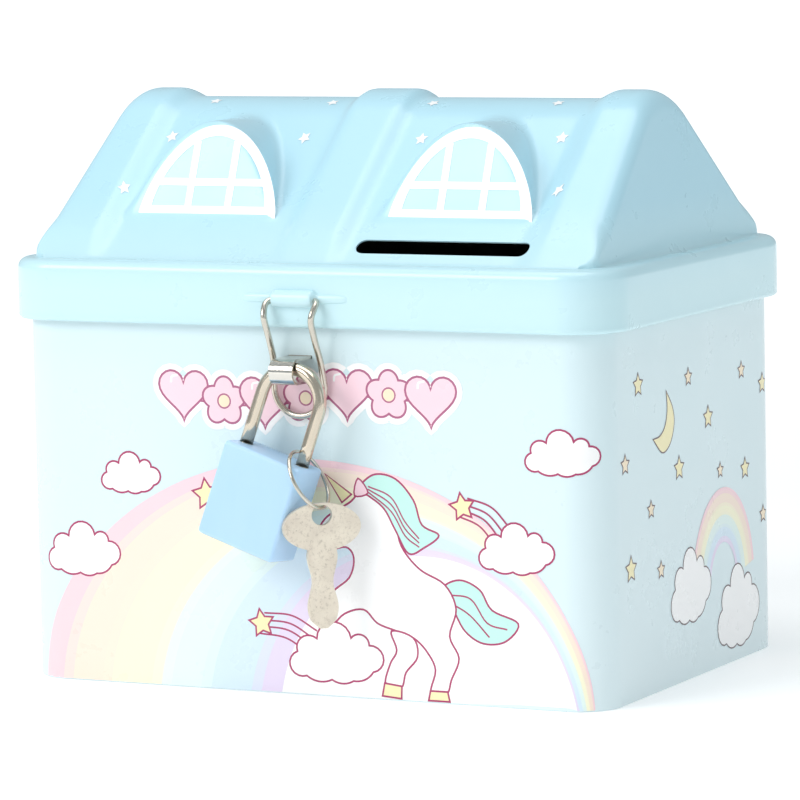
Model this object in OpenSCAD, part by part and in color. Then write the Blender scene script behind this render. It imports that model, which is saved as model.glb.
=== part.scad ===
// Tin money box shaped like a small house: a hinged roof lid with a coin slot,
// a wire hasp over a staple, and a small padlock with its key.
// Origin: centre of the underside. +Z up, +X to the right, -Y is the front.

/* [Box] */
// Outside width of the body
body_w = 120; // [80:1:200]
// Outside depth of the body
body_d = 84; // [60:1:160]
// Height of the underside of the lid skirt above the ground
skirt_z = 68.3; // [50:0.1:140]
// Outside radius of the body's upright corners
body_r = 8; // [5:0.5:12]
// Thickness of the tinplate
tin_t = 0.3; // [0.2:0.05:0.4]
// Radius of the rolled rim of the body
rim_r = 0.65; // [0.5:0.05:0.9]
// Width of the flat hem under the wall
hem_w = 2.2; // [1.5:0.1:4]
// Depth of the stiffening groove around the floor pad
floor_step = 1.2; // [0.8:0.1:3]
// Width of that groove
floor_groove_w = 6; // [4:0.5:10]

/* [Lid] */
// How far the lid skirt stands outside the body
skirt_gap = 2.5; // [2.2:0.1:4]
// Height of the skirt
skirt_h = 11.5; // [9:0.1:20]
// Rounding where the skirt turns into the ledge
skirt_edge_r = 2; // [1:0.1:2.4]
// Radius of the curl along the skirt's lower edge
curl_r = 0.8; // [0.6:0.05:0.9]
// Width of the ledge between skirt and roof at the front and back
ledge_w = 5; // [3:0.1:8]
// Width of the ledge at the gable ends
ledge_end_w = 4.3; // [3:0.1:8]
// Height of the roof from ledge to ridge
roof_h = 28.2; // [18:0.1:45]
// Radius that rounds the ridge
ridge_r = 16; // [8:0.5:20]
// How far each gable leans in between ledge and ridge
gable_lean = 3.2; // [1:0.1:8]
// Radius of the roof's upright corners
roof_corner_r = 8; // [4:0.5:10]
// How far the pressed ribs stand proud of the roof
rib_h = 1.4; // [0.8:0.1:2]
// Width of the rib in the middle
mid_rib_w = 11; // [6:0.5:16]
// Width of the ribs at the gable ends
end_rib_w = 10.5; // [6:0.5:14]
// Distance between the centres of the two dormers on a slope
dormer_pitch = 53; // [44:0.5:80]
// Width of a dormer at its foot
dormer_w = 35; // [24:0.5:38]
// Height of a dormer's crown above the ledge
dormer_top = 25.4; // [16:0.1:27]
// Distance of a dormer's foot from the middle of the roof
dormer_y = 33.8; // [24:0.5:50]
// How far a dormer's face leans back, in degrees from upright
dormer_lean = 22; // [10:1:35]
// Length of the coin slot
slot_l = 35; // [26:0.5:40]
// Width of the coin slot, measured along the slope
slot_w = 3.6; // [2.5:0.1:5]
// Distance of the coin slot from the middle of the roof
slot_y = 36; // [30:0.5:60]

/* [Hinge] */
// Distance of the hinge axis behind the skirt
hinge_back = 1.7; // [1.6:0.05:3]
// Radius of the hinge pin
hinge_pin_r = 0.8; // [0.6:0.05:1.2]
// Running clearance of the pin in its knuckles
pin_clear = 0.06; // [0.02:0.01:0.1]
// Wall of a knuckle
knuckle_t = 0.6; // [0.4:0.05:0.9]
// Length of the knuckle on the body leaf
leaf_knuckle_l = 16; // [10:0.5:30]
// Length of each knuckle on the lid
lid_knuckle_l = 9; // [6:0.5:16]
// Gap between neighbouring knuckles
knuckle_gap = 0.3; // [0.15:0.05:0.6]
// Height of the leaf on the back wall
leaf_h = 12; // [8:0.5:20]
// Thickness of the leaf
leaf_t = 0.5; // [0.4:0.05:0.8]

/* [Hasp] */
// Radius of the hasp wire
wire_r = 0.6; // [0.4:0.05:0.8]
// Half the width of the hasp at its pivot
hasp_half_w = 5.2; // [4.6:0.1:8]
// Radius of the rounding at the bottom of the hasp's loop
loop_r = 5.2; // [4:0.1:6]
// Height of the hasp pivot above the skirt's lower edge
pivot_up = 5.1; // [4:0.1:8]
// Length of the hasp from its pivot to the bottom of its loop
hasp_l = 22; // [21:0.5:30]
// Sideways place of the hasp, as it hangs
hasp_x = 0.4; // [-1:0.1:1]
// Outer radius of the pressed bridge that holds the wire
bridge_r = 1.5; // [1.3:0.05:2]
// Length of the stiffening bead beside the bridge, end to end
bead_l = 22; // [16:0.5:30]
// Width of the staple strip
staple_w = 4.8; // [4:0.1:5.2]
// Thickness of the staple strip
staple_t = 0.45; // [0.4:0.05:0.7]
// Clear height inside the staple's eye
eye_h = 3.9; // [3.7:0.05:4.2]
// How far the eye's inside reaches out from the wall
eye_out = 7.5; // [7:0.1:10]
// Distance of the staple below the skirt's lower edge
staple_down = 7.7; // [6:0.1:12]

/* [Padlock] */
// Width of the padlock case
lock_w = 16.5; // [16:0.1:22]
// Sideways place of the shackle's bow in the staple
lock_x = 1; // [-1:0.1:1]
// Depth of the padlock case
lock_d = 9; // [8.6:0.1:12]
// Height of the padlock case
lock_h = 18; // [17.5:0.1:26]
// Radius of the shackle wire
shackle_r = 1.2; // [1:0.05:1.25]
// Distance between the shackle's two legs
leg_pitch = 12.4; // [12:0.1:12.6]
// Straight length of the legs that shows above the case
leg_show = 10; // [8:0.1:16]
// Turn of the padlock about the upright axis, in degrees
lock_yaw = -2; // [-10:1:10]
// Lean of the padlock away from the wall, in degrees
lock_pitch = -5.5; // [-10:0.5:0]
// Tilt of the padlock as it hangs askew, in degrees
lock_roll = 18; // [-20:0.5:20]
// Travel of the shackle when it springs open
lock_travel = 5.3; // [4:0.1:5.4]
// Thickness of the plastic jacket
jacket_t = 0.5; // [0.4:0.05:0.7]
// Radius of the key plug
plug_r = 3.45; // [3.3:0.05:3.6]
// Travel of the latch
latch_travel = 0.9; // [0.6:0.05:1]

/* [Key] */
// Thickness of the key
key_t = 1.2; // [0.8:0.1:1.4]
// Width of the oval key head
key_head_w = 14.6; // [12:0.1:18]
// Height of the oval key head
key_head_h = 8.8; // [7:0.1:12]
// Length of the key from end to end
key_l = 23; // [20:0.5:30]
// Diameter of the hole in the key head
key_hole_d = 3.8; // [3:0.1:4.4]
// Radius of the key ring, to the middle of its wire
ring_r = 5.7; // [5.5:0.1:7]
// Radius of the ring's wire
ring_wire_r = 0.35; // [0.3:0.05:0.4]
// How far outside the case's side the ring's low point hangs
key_aside = 4.2; // [3.6:0.1:6]
// Turn of the key about the upright axis, in degrees
key_yaw = 42; // [30:1:60]

/* [Hidden] */
$fn = 64;

tin_colour = "lightblue";
nickel_colour = [0.78, 0.77, 0.74];
jacket_colour = [0.66, 0.84, 0.97];
key_colour = [0.84, 0.79, 0.71];

// Levels and half sizes shared by the box and its lid
half_w = body_w / 2;
half_d = body_d / 2;
ledge_z = skirt_z + skirt_h;
lid_rest_gap = 0.3;
body_h = ledge_z - tin_t - lid_rest_gap;
skirt_half_w = half_w + skirt_gap;
skirt_half_d = half_d + skirt_gap;
skirt_r = body_r + skirt_gap;
roof_half_w = skirt_half_w - ledge_end_w;
roof_half_d = skirt_half_d - ledge_w;
ridge_z = ledge_z + roof_h;

// The slope is tangent to the ridge rounding and meets the ledge at roof_half_d
slope_a = slope_angle(40);
function slope_drop(a) = roof_half_d * tan(a) - ridge_r * (1 / cos(a) - 1);
function slope_angle(a, n = 0) =
    n > 30 ? a : slope_angle(a - (slope_drop(a) - roof_h) / (roof_half_d / 45), n + 1);

// Hinge
hinge_y = skirt_half_d + hinge_back;
hinge_z = skirt_z + 0.3;
knuckle_r = hinge_pin_r + pin_clear + knuckle_t;
hinge_half_l = leaf_knuckle_l / 2 + knuckle_gap + lid_knuckle_l;
leaf_tab_w = 3;
leaf_tab_x = leaf_knuckle_l / 2 - leaf_tab_w;
leaf_tab_z = hinge_z - leaf_h + 3;

// Hasp and staple
pivot_y = -(skirt_half_d + 0.4);
pivot_z = skirt_z + pivot_up;
staple_z = skirt_z - staple_down;
bridge_half_l = hasp_half_w - 1.3;
slit_clear = 0.1;
clench_l = 4;

// Padlock: its frame has its origin at the centre of the shackle's bow
bow_r = leg_pitch / 2;
bow_clear = 0.15;
lock_y = -half_d - eye_out + bow_clear + shackle_r;
lock_z = staple_z + eye_h / 2 - bow_clear - shackle_r - bow_r * cos(lock_pitch);
case_top = -leg_show;
case_bottom = case_top - lock_h;
bore_clear = 0.08;
core_w = lock_w - 2 * jacket_t;
core_d = lock_d - 2 * jacket_t;
core_top = case_top - jacket_t;
base_t = 0.7;
core_bottom = case_bottom + base_t;
case_edge_r = 1.3;
toe_end = case_top - 8.2;
latch_top = case_top - 5.2;
latch_t = 1.2;
latch_half_d = 2;
latch_nose = -leg_pitch / 2 + shackle_r + 0.2;
latch_tail = 2.4;
latch_clear = 0.1;
notch_deep = latch_travel + 0.1;
heel_end = case_top - 14.2;
heel_pin_r = 0.5;
heel_neck_r = 0.75;
heel_pin_z = case_top - 6.6;
heel_bore_end = case_top - 16.8;
cam_r = 0.5;
cam_off = latch_travel;
plug_top = latch_top - latch_t - 0.2;
keyway_w = 5.9;
keyway_t = key_t + 0.2;
keyhole_r = 3.1;
rivet_r = 0.45;
rivet_y = 2.9;
rivet_l = 6;
latch_spring_l = 1.8;

// Key ring: hangs round the heel leg and outside the case's right side
ring_top_x = leg_pitch / 2 - shackle_r - ring_wire_r - 0.4;
ring_top_z = case_top + 2.1;
ring_tilt = asin((lock_w / 2 + key_aside - ring_top_x) / (2 * ring_r));
key_hang = key_hole_d / 2 - ring_wire_r - 0.35;

// ---------------------------------------------------------------- outlines

module rounded_rect(half_x, half_y, r) {
    square([2 * half_x, 2 * (half_y - r)], center = true);
    square([2 * (half_x - r), 2 * half_y], center = true);
    for (sx = [-1, 1], sy = [-1, 1])
        translate([sx * (half_x - r), sy * (half_y - r)]) circle(r);
}

module slab(half_x, half_y, r, z0, z1) {
    translate([0, 0, z0]) linear_extrude(z1 - z0) rounded_rect(half_x, half_y, r);
}

// A round bead that follows a rounded rectangle
module bead(half_x, half_y, r, bead_r, z) {
    translate([0, 0, z]) {
        for (sx = [-1, 1]) {
            translate([sx * half_x, 0, 0]) rotate([90, 0, 0])
                cylinder(r = bead_r, h = 2 * (half_y - r), center = true);
            translate([0, sx * half_y, 0]) rotate([0, 90, 0])
                cylinder(r = bead_r, h = 2 * (half_x - r), center = true);
        }
        for (q = [0 : 3])
            translate([(q == 0 || q == 3 ? 1 : -1) * (half_x - r), (q < 2 ? 1 : -1) * (half_y - r), 0])
                rotate([0, 0, 90 * q]) rotate_extrude(angle = 90) translate([r, 0]) circle(bead_r);
    }
}

// A tube swept along a list of points
function unit(v) = v / norm(v);
function tangent(p, i) = unit(p[min(i + 1, len(p) - 1)] - p[max(i - 1, 0)]);
function side_of(t) = abs(t[1]) < 0.9 ? unit(cross(t, [0, 1, 0])) : unit(cross(t, [1, 0, 0]));
function carried(t, s) = unit(s - t * (s * t));
function sides(p, i = 0, s = []) =
    i == len(p) ? s :
    sides(p, i + 1, concat(s, [i == 0 ? side_of(tangent(p, 0)) : carried(tangent(p, i), s[i - 1])]));

module tube(p, r, n = 10) {
    s = sides(p);
    rings = [for (i = [0 : len(p) - 1]) let (t = tangent(p, i), u = s[i], v = cross(t, u))
        for (k = [0 : n - 1]) p[i] + r * (cos(360 * k / n) * u + sin(360 * k / n) * v)];
    last = len(p) - 1;
    walls = [for (i = [0 : last - 1], k = [0 : n - 1])
        [i * n + k, (i + 1) * n + k, (i + 1) * n + (k + 1) % n, i * n + (k + 1) % n]];
    caps = [[for (k = [0 : n - 1]) k], [for (k = [n - 1 : -1 : 0]) last * n + k]];
    polyhedron(rings, concat(walls, caps));
}

module coil(r, wire, length, turns) {
    steps = 14 * turns;
    tube([for (i = [0 : steps]) [r * cos(360 * turns * i / steps), r * sin(360 * turns * i / steps),
        wire + (length - 2 * wire) * i / steps]], wire, 6);
}

// ---------------------------------------------------------------- body

module staple_slits(clear) {
    for (s = [-1, 1])
        translate([0, -half_d, staple_z + s * (eye_h + staple_t) / 2])
            cube([staple_w + 2 * clear, 4, staple_t + 2 * clear], center = true);
}

module leaf_slits(clear) {
    for (s = [-1, 1])
        translate([s * leaf_tab_x, half_d, leaf_tab_z])
            cube([leaf_tab_w + 2 * clear, 4, leaf_t + 2 * clear], center = true);
}
module body_wall() {
    color(tin_colour) difference() {
        union() {
            difference() {
                slab(half_w, half_d, body_r, 0, body_h - rim_r);
                slab(half_w - tin_t, half_d - tin_t, body_r - tin_t, tin_t, body_h);
                slab(half_w - hem_w, half_d - hem_w, body_r - hem_w, -1, 1);
            }
            bead(half_w - rim_r, half_d - rim_r, body_r - rim_r, rim_r, body_h - rim_r);
        }
        staple_slits(slit_clear);
        leaf_slits(slit_clear);
    }
}

module floor_panel() {
    flange_x = half_w - tin_t;
    flange_y = half_d - tin_t;
    flange_r = body_r - tin_t;
    flange_top = tin_t + floor_step;
    pad_x = half_w - floor_groove_w;
    pad_y = half_d - floor_groove_w;
    pad_r = body_r - floor_groove_w / 2;
    color("lightgray") {
        difference() {
            slab(flange_x, flange_y, flange_r, tin_t, flange_top);
            slab(flange_x - tin_t, flange_y - tin_t, flange_r - tin_t, 0, flange_top - tin_t);
            slab(pad_x - tin_t, pad_y - tin_t, pad_r - tin_t, 0, flange_top + 1);
        }
        difference() {
            slab(pad_x, pad_y, pad_r, 0, flange_top);
            slab(pad_x - tin_t, pad_y - tin_t, pad_r - tin_t, tin_t, flange_top + 1);
        }
    }
}

module knuckle(x0, x1) {
    translate([x0, hinge_y, hinge_z]) rotate([0, 90, 0]) difference() {
        cylinder(r = knuckle_r, h = x1 - x0);
        translate([0, 0, -1]) cylinder(r = hinge_pin_r + pin_clear, h = x1 - x0 + 2);
    }
}

module hinge_leaf() {
    half_l = leaf_knuckle_l / 2;
    web_z = hinge_z - knuckle_r;
    color(nickel_colour) {
        difference() {
            union() {
                knuckle(-half_l, half_l);
                translate([-half_l, half_d, web_z])
                    cube([leaf_knuckle_l, hinge_y - half_d, leaf_t]);
            }
            translate([0, hinge_y, hinge_z]) rotate([0, 90, 0])
                cylinder(r = hinge_pin_r + pin_clear, h = leaf_knuckle_l + 2, center = true);
        }
        translate([-half_l, half_d, hinge_z - leaf_h])
            cube([leaf_knuckle_l, leaf_t, leaf_h - knuckle_r + leaf_t]);
        for (s = [-1, 1])
            translate([s * leaf_tab_x - leaf_tab_w / 2, half_d - tin_t - leaf_t, leaf_tab_z]) {
                translate([0, 0, -leaf_t / 2]) cube([leaf_tab_w, tin_t + 2 * leaf_t, leaf_t]);
                translate([0, 0, -leaf_t / 2]) cube([leaf_tab_w, leaf_t, clench_l]);
            }
    }
}

module hinge_pin() {
    color(nickel_colour) translate([0, hinge_y, hinge_z]) rotate([0, 90, 0])
        cylinder(r = hinge_pin_r, h = 2 * hinge_half_l + 1.6, center = true);
}

// ---------------------------------------------------------------- lid

// The slope's profile in Y and Z, moved in by g along its normal
function slope_profile(g) =
    let (r = ridge_r - g, n = 24, foot = roof_half_d - g / sin(slope_a))
    concat([[foot, ledge_z], [foot, ledge_z - 3], [-foot, ledge_z - 3], [-foot, ledge_z]],
        [for (i = [0 : n]) let (a = -slope_a + 2 * slope_a * i / n)
            [r * sin(a), ridge_z - ridge_r + r * cos(a)]]);

module slope_prism(g, x0, x1) {
    translate([x0, 0, 0]) rotate([90, 0, 90]) linear_extrude(x1 - x0) polygon(slope_profile(g));
}

// The gable ends' leaning planes and the roof's upright corners, moved in by g
module gable_limit(g) {
    intersection() {
        rotate([90, 0, 0]) linear_extrude(2 * body_d, center = true)
            polygon([[-(roof_half_w - g), ledge_z - 3], [roof_half_w - g, ledge_z - 3],
                [roof_half_w - g, ledge_z],
                [roof_half_w - gable_lean - g, ridge_z], [roof_half_w - gable_lean - g, ridge_z + 9],
                [-(roof_half_w - gable_lean - g), ridge_z + 9], [-(roof_half_w - gable_lean - g), ridge_z],
                [-(roof_half_w - g), ledge_z]]);
        slab(roof_half_w - g, roof_half_d - g, roof_corner_r - g, ledge_z - 3, ridge_z + 9);
    }
}

module dormer(g) {
    r = dormer_w / 2 - g;
    crown = dormer_top - g;
    n = 20;
    face_foot = dormer_y - g / cos(dormer_lean);
    intersection() {
        rotate([90, 0, 0]) linear_extrude(2 * face_foot, center = true)
            polygon(concat([[r, ledge_z - 2], [-r, ledge_z - 2]],
                [for (i = [0 : n]) let (a = 180 - 180 * i / n)
                    [r * cos(a), ledge_z + 3 + (crown - 3) * sin(a)]]));
        rotate([90, 0, 90]) linear_extrude(2 * r, center = true)
            polygon([[-face_foot, ledge_z - 2], [face_foot, ledge_z - 2],
                [face_foot - (dormer_top + 2) * tan(dormer_lean), ledge_z + dormer_top],
                [-face_foot + (dormer_top + 2) * tan(dormer_lean), ledge_z + dormer_top]]);
    }
}

module roof_solid(g) {
    rib = rib_h - g;
    intersection() {
        union() {
            slope_prism(g, -roof_half_w, roof_half_w);
            slope_prism(-rib, -mid_rib_w / 2 + g, mid_rib_w / 2 - g);
            for (s = [-1, 1]) {
                slope_prism(-rib, s > 0 ? roof_half_w - end_rib_w - gable_lean + g : -roof_half_w,
                    s > 0 ? roof_half_w : -roof_half_w + end_rib_w + gable_lean - g);
                translate([s * dormer_pitch / 2, 0, 0]) dormer(g);
            }
        }
        gable_limit(g);
    }
}

// Solid skirt with a rounded top edge, moved in by g
module skirt_solid(g) {
    r = skirt_edge_r - g;
    slab(skirt_half_w - g, skirt_half_d - g, skirt_r - g, skirt_z + curl_r - g, ledge_z - skirt_edge_r);
    slab(skirt_half_w - skirt_edge_r, skirt_half_d - skirt_edge_r, skirt_r - skirt_edge_r,
        skirt_z + curl_r - g, ledge_z - g);
    bead(skirt_half_w - skirt_edge_r, skirt_half_d - skirt_edge_r, skirt_r - skirt_edge_r, r,
        ledge_z - skirt_edge_r);
}

module along_x(r, l) {
    rotate([0, 90, 0]) cylinder(r = r, h = l, center = true);
}

module coin_slot() {
    slot_z = ridge_z - ridge_r + ridge_r / cos(slope_a) - slot_y * tan(slope_a);
    translate([dormer_pitch / 2, -slot_y, slot_z]) rotate([slope_a, 0, 0])
        linear_extrude(8, center = true) {
            square([slot_l - slot_w, slot_w], center = true);
            for (s = [-1, 1]) translate([s * (slot_l - slot_w) / 2, 0]) circle(slot_w / 2);
        }
}

module lid_shell() {
    half_leaf = leaf_knuckle_l / 2 + knuckle_gap;
    color(tin_colour) difference() {
        union() {
            difference() {
                union() {
                    skirt_solid(0);
                    roof_solid(0);
                    translate([hasp_x, pivot_y, pivot_z]) along_x(bridge_r, 2 * bridge_half_l);
                    translate([hasp_x, -skirt_half_d, pivot_z + 1]) along_x(0.7, bead_l);
                }
                skirt_solid(tin_t);
                roof_solid(tin_t);
                translate([hasp_x, pivot_y, pivot_z]) along_x(bridge_r - tin_t, 2 * bridge_half_l + 2);
            }
            bead(skirt_half_w - curl_r, skirt_half_d - curl_r, skirt_r - curl_r, curl_r, skirt_z + curl_r);
            for (s = [-1, 1]) {
                knuckle(s > 0 ? half_leaf : -half_leaf - lid_knuckle_l,
                    s > 0 ? half_leaf + lid_knuckle_l : -half_leaf);
                translate([s > 0 ? half_leaf : -half_leaf - lid_knuckle_l, skirt_half_d - tin_t, hinge_z - 0.2])
                    cube([lid_knuckle_l, hinge_back - hinge_pin_r - pin_clear, knuckle_t]);
            }
        }
        coin_slot();
        translate([0, hinge_y, hinge_z]) along_x(knuckle_r + 0.25, leaf_knuckle_l + 2 * knuckle_gap);
        translate([0, hinge_y, hinge_z]) along_x(hinge_pin_r + pin_clear, 2 * hinge_half_l + 4);
    }
}

// ---------------------------------------------------------------- hasp and staple

wire_gap = 0.6;
wall_y = -half_d - wire_r - wire_gap;
// Half of the wire, from the pivot end to the bottom of the loop
hasp_side = [
    [1.2, pivot_y, pivot_z],
    [4, pivot_y, pivot_z],
    [4.9, pivot_y - 0.3, pivot_z - 0.1],
    [5.2, pivot_y - 1.1, pivot_z - 0.5],
    [5.1, pivot_y - 2, pivot_z - 1.5],
    [4.9, pivot_y - 2.5, pivot_z - 2.7],
    [4.8, pivot_y - 2.3, pivot_z - 4],
    [4.7, pivot_y - 1.5, pivot_z - 5.8],
    [4.7, pivot_y - 0.5, pivot_z - 8],
    [4.8, (pivot_y + wall_y) / 2, pivot_z - 11],
    [5, wall_y - 0.2, pivot_z - 14]];
hasp_loop = [for (a = [0 : 15 : 90])
    [loop_r * cos(a), wall_y, pivot_z - hasp_l + wire_r + loop_r * (1 - sin(a))]];
hasp_half = concat(hasp_side, hasp_loop);
hasp_path = concat([for (p = hasp_half) [-p[0], p[1], p[2]]],
    [for (i = [len(hasp_half) - 2 : -1 : 0]) hasp_half[i]]);

module hasp_wire() {
    color(nickel_colour) translate([hasp_x, 0, 0]) tube(hasp_path, wire_r);
}

module staple() {
    mid_r = (eye_h + staple_t) / 2;
    nose_y = half_d + eye_out - eye_h / 2;
    inner_y = half_d - tin_t;
    color(nickel_colour) translate([0, 0, staple_z]) {
        rotate([90, 0, 90]) linear_extrude(staple_w, center = true) {
            for (s = [-1, 1]) {
                translate([-nose_y, s > 0 ? eye_h / 2 : -eye_h / 2 - staple_t])
                    square([nose_y - inner_y + staple_t, staple_t]);
                translate([-inner_y, s > 0 ? eye_h / 2 : -eye_h / 2 - clench_l])
                    square([staple_t, clench_l]);
            }
            translate([-nose_y, 0]) difference() {
                circle(mid_r + staple_t / 2);
                circle(eye_h / 2);
                translate([0, -10]) square([20, 20]);
            }
        }
    }
}

// ---------------------------------------------------------------- padlock

module lock_frame() {
    translate([lock_x, lock_y, lock_z]) rotate([0, 0, lock_yaw]) rotate([lock_pitch, 0, 0])
        rotate([0, lock_roll, 0]) children();
}

module rod(x, y, z0, z1, r) {
    translate([x, y, z0]) cylinder(r = r, h = z1 - z0);
}

module shackle() {
    color(nickel_colour) lock_frame() difference() {
        union() {
            rotate([90, 0, 0]) rotate_extrude(angle = 180) translate([bow_r, 0]) circle(shackle_r);
            rod(-bow_r, 0, toe_end, 0, shackle_r);
            rod(bow_r, 0, heel_pin_z + heel_pin_r + 0.2, 0, shackle_r);
            rod(bow_r, 0, heel_end, heel_pin_z + heel_pin_r + 0.2, heel_neck_r);
            rod(bow_r, 0, heel_end, heel_end + 1.4, shackle_r);
        }
        translate([-bow_r + shackle_r - notch_deep, -3, latch_top - latch_t - 0.3])
            cube([3, 6, latch_t + 0.6]);
    }
}

module case_outline(grow) {
    rounded_rect(lock_w / 2 - jacket_t + grow, lock_d / 2 - jacket_t + grow, case_edge_r - jacket_t + grow);
}

module lock_jacket() {
    color(jacket_colour) lock_frame() difference() {
        translate([0, 0, case_bottom]) linear_extrude(lock_h) case_outline(jacket_t);
        translate([0, 0, case_bottom - 1]) linear_extrude(lock_h + 1 - jacket_t) case_outline(0);
        for (s = [-1, 1]) rod(s * bow_r, 0, case_top - 2, case_top + 1, shackle_r + 0.3);
    }
}

module latch_room(clear) {
    translate([latch_nose - latch_travel - 1.2, -latch_half_d - clear, latch_top - latch_t - clear])
        cube([latch_tail - latch_nose + latch_travel + 1.2 + clear, 2 * (latch_half_d + clear),
            latch_t + 2 * clear]);
    translate([latch_tail - clear, 0, latch_top - latch_t / 2]) rotate([0, 90, 0])
        cylinder(r = latch_t / 2 + clear, h = latch_spring_l + clear);
}

module lock_core() {
    color(nickel_colour) lock_frame() difference() {
        translate([0, 0, core_bottom]) linear_extrude(core_top - core_bottom) case_outline(0);
        rod(-bow_r, 0, toe_end - 0.4, case_top, shackle_r + bore_clear);
        rod(bow_r, 0, heel_bore_end, case_top, shackle_r + bore_clear);
        rod(0, 0, core_bottom - 1, plug_top + 0.25, plug_r + bore_clear);
        latch_room(latch_clear);
        heel_pin_shape(0);
        for (s = [-1, 1], t = [-1, 1]) rod(s * bow_r, t * rivet_y, core_bottom - 1, core_bottom + rivet_l, rivet_r);
    }
}

module heel_pin_shape(clear) {
    translate([bow_r - heel_neck_r - heel_pin_r - 0.1, 0, heel_pin_z]) rotate([90, 0, 0])
        cylinder(r = heel_pin_r + clear, h = core_d, center = true);
}

module heel_pin() {
    color(nickel_colour) lock_frame() heel_pin_shape(0);
}

module lock_base() {
    color(nickel_colour) lock_frame() difference() {
        translate([0, 0, case_bottom]) linear_extrude(base_t) case_outline(0);
        rod(0, 0, case_bottom - 1, case_bottom + 2, keyhole_r);
        for (s = [-1, 1], t = [-1, 1])
            rod(s * bow_r, t * rivet_y, case_bottom - 1, core_bottom + 1, rivet_r);
    }
}

module case_rivets() {
    color(nickel_colour) lock_frame() for (s = [-1, 1], t = [-1, 1])
        rod(s * bow_r, t * rivet_y, case_bottom, core_bottom + rivet_l, rivet_r);
}

module shackle_spring() {
    color(nickel_colour) lock_frame() translate([bow_r, 0, heel_bore_end])
        coil(0.85, 0.2, heel_end - heel_bore_end, 4);
}

wafer_z = [for (k = [0 : 2]) core_bottom + 1.6 + 2.1 * k];
wafer_t = 0.5;

module wafer_slots(clear) {
    for (z = wafer_z) translate([0, 0, z]) cube([3.4 + clear, 2 * plug_r - 0.7, wafer_t + clear], center = true);
}

module lock_plug() {
    color("gold") lock_frame() {
        difference() {
            rod(0, 0, core_bottom + 0.05, plug_top, plug_r);
            translate([-keyway_w / 2, -keyway_t / 2, core_bottom - 1])
                cube([keyway_w, keyway_t, plug_top - core_bottom]);
            wafer_slots(0.1);
        }
        rod(0, -cam_off, plug_top, latch_top, cam_r);
    }
}

module plug_wafers() {
    color("gold") lock_frame() difference() {
        wafer_slots(0);
        translate([0, 0, core_bottom]) cube([2.6, keyway_t + 0.3, 40], center = true);
    }
}

module latch() {
    color(nickel_colour) lock_frame() difference() {
        translate([latch_nose, -latch_half_d, latch_top - latch_t])
            cube([latch_tail - latch_nose, 2 * latch_half_d, latch_t]);
        translate([-cam_r - 0.3, -cam_off - cam_r - 0.3, latch_top - latch_t - 1])
            cube([2 * cam_r + 0.6, cam_off + 2 * cam_r + 0.6, 4]);
    }
}

module latch_spring() {
    color(nickel_colour) lock_frame() translate([latch_tail, 0, latch_top - latch_t / 2]) rotate([0, 90, 0])
        coil(0.42, 0.12, latch_spring_l, 5);
}

// ---------------------------------------------------------------- ring and key

// A point of the padlock's frame, placed in the box's frame
function turn_z(p, a) = [p[0] * cos(a) - p[1] * sin(a), p[0] * sin(a) + p[1] * cos(a), p[2]];
function turn_x(p, a) = [p[0], p[1] * cos(a) - p[2] * sin(a), p[1] * sin(a) + p[2] * cos(a)];
function turn_y(p, a) = [p[0] * cos(a) + p[2] * sin(a), p[1], -p[0] * sin(a) + p[2] * cos(a)];
function lock_place(p) =
    [lock_x, lock_y, lock_z] + turn_z(turn_x(turn_y(p, lock_roll), lock_pitch), lock_yaw);

module ring_frame() {
    lock_frame() translate([ring_top_x, 0, ring_top_z]) rotate([0, -ring_tilt, 0])
        translate([0, 0, -ring_r]) children();
}

module key_ring() {
    color(nickel_colour) ring_frame() rotate([0, 90, 0])
        rotate_extrude() translate([ring_r, 0]) circle(ring_wire_r);
}

// The lowest point of the ring as it hangs, where the key's hole rides
ring_low = lock_place([ring_top_x + 2 * ring_r * sin(ring_tilt), 0, ring_top_z - 2 * ring_r * cos(ring_tilt)]);

// The key in its own plane, with the hole's centre at the origin
key_hole_down = 2.2;
key_neck = 1.9;
key_lobe = 2.8;

module key_outline() {
    blade_top = -key_hole_d / 2 - 1;
    tip = key_hole_down - key_l;
    n = 24;
    difference() {
        union() {
            polygon([for (a = [0 : 5 : 355])
                [key_head_w / 2 * cos(a), key_hole_down - key_head_h / 2 * (1 - sin(a))]]);
            polygon([for (s = [1, -1], i = [0 : n])
                let (u = s > 0 ? i / n : 1 - i / n,
                    wave = key_neck + (key_lobe - key_neck) * pow(sin(345 * u), 2),
                    taper = max(0, u - 0.93) * 18)
                [s * (wave - taper), blade_top + u * (tip - blade_top)]]);
        }
        circle(key_hole_d / 2);
    }
}

module key() {
    color(key_colour) translate(ring_low - [0, 0, key_hang]) rotate([0, 0, key_yaw]) rotate([90, 0, 0])
        linear_extrude(key_t, center = true) key_outline();
}

body_wall();
floor_panel();
hinge_leaf();
hinge_pin();
lid_shell();
hasp_wire();
staple();
shackle();
lock_jacket();
lock_core();
lock_base();
case_rivets();
heel_pin();
shackle_spring();
lock_plug();
plug_wafers();
latch();
latch_spring();
key_ring();
key();
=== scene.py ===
"""The looks of the tin money box: a house-shaped tin with a printed body, a stamped roof lid,
a wire hasp over a staple, and a small padlock with its key. Lengths are in millimetres and are
turned into metres where a mesh is made."""

import math
from contextlib import contextmanager

import bmesh
import bpy
import numpy as np
from mathutils import Matrix, Vector, geometry


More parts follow.
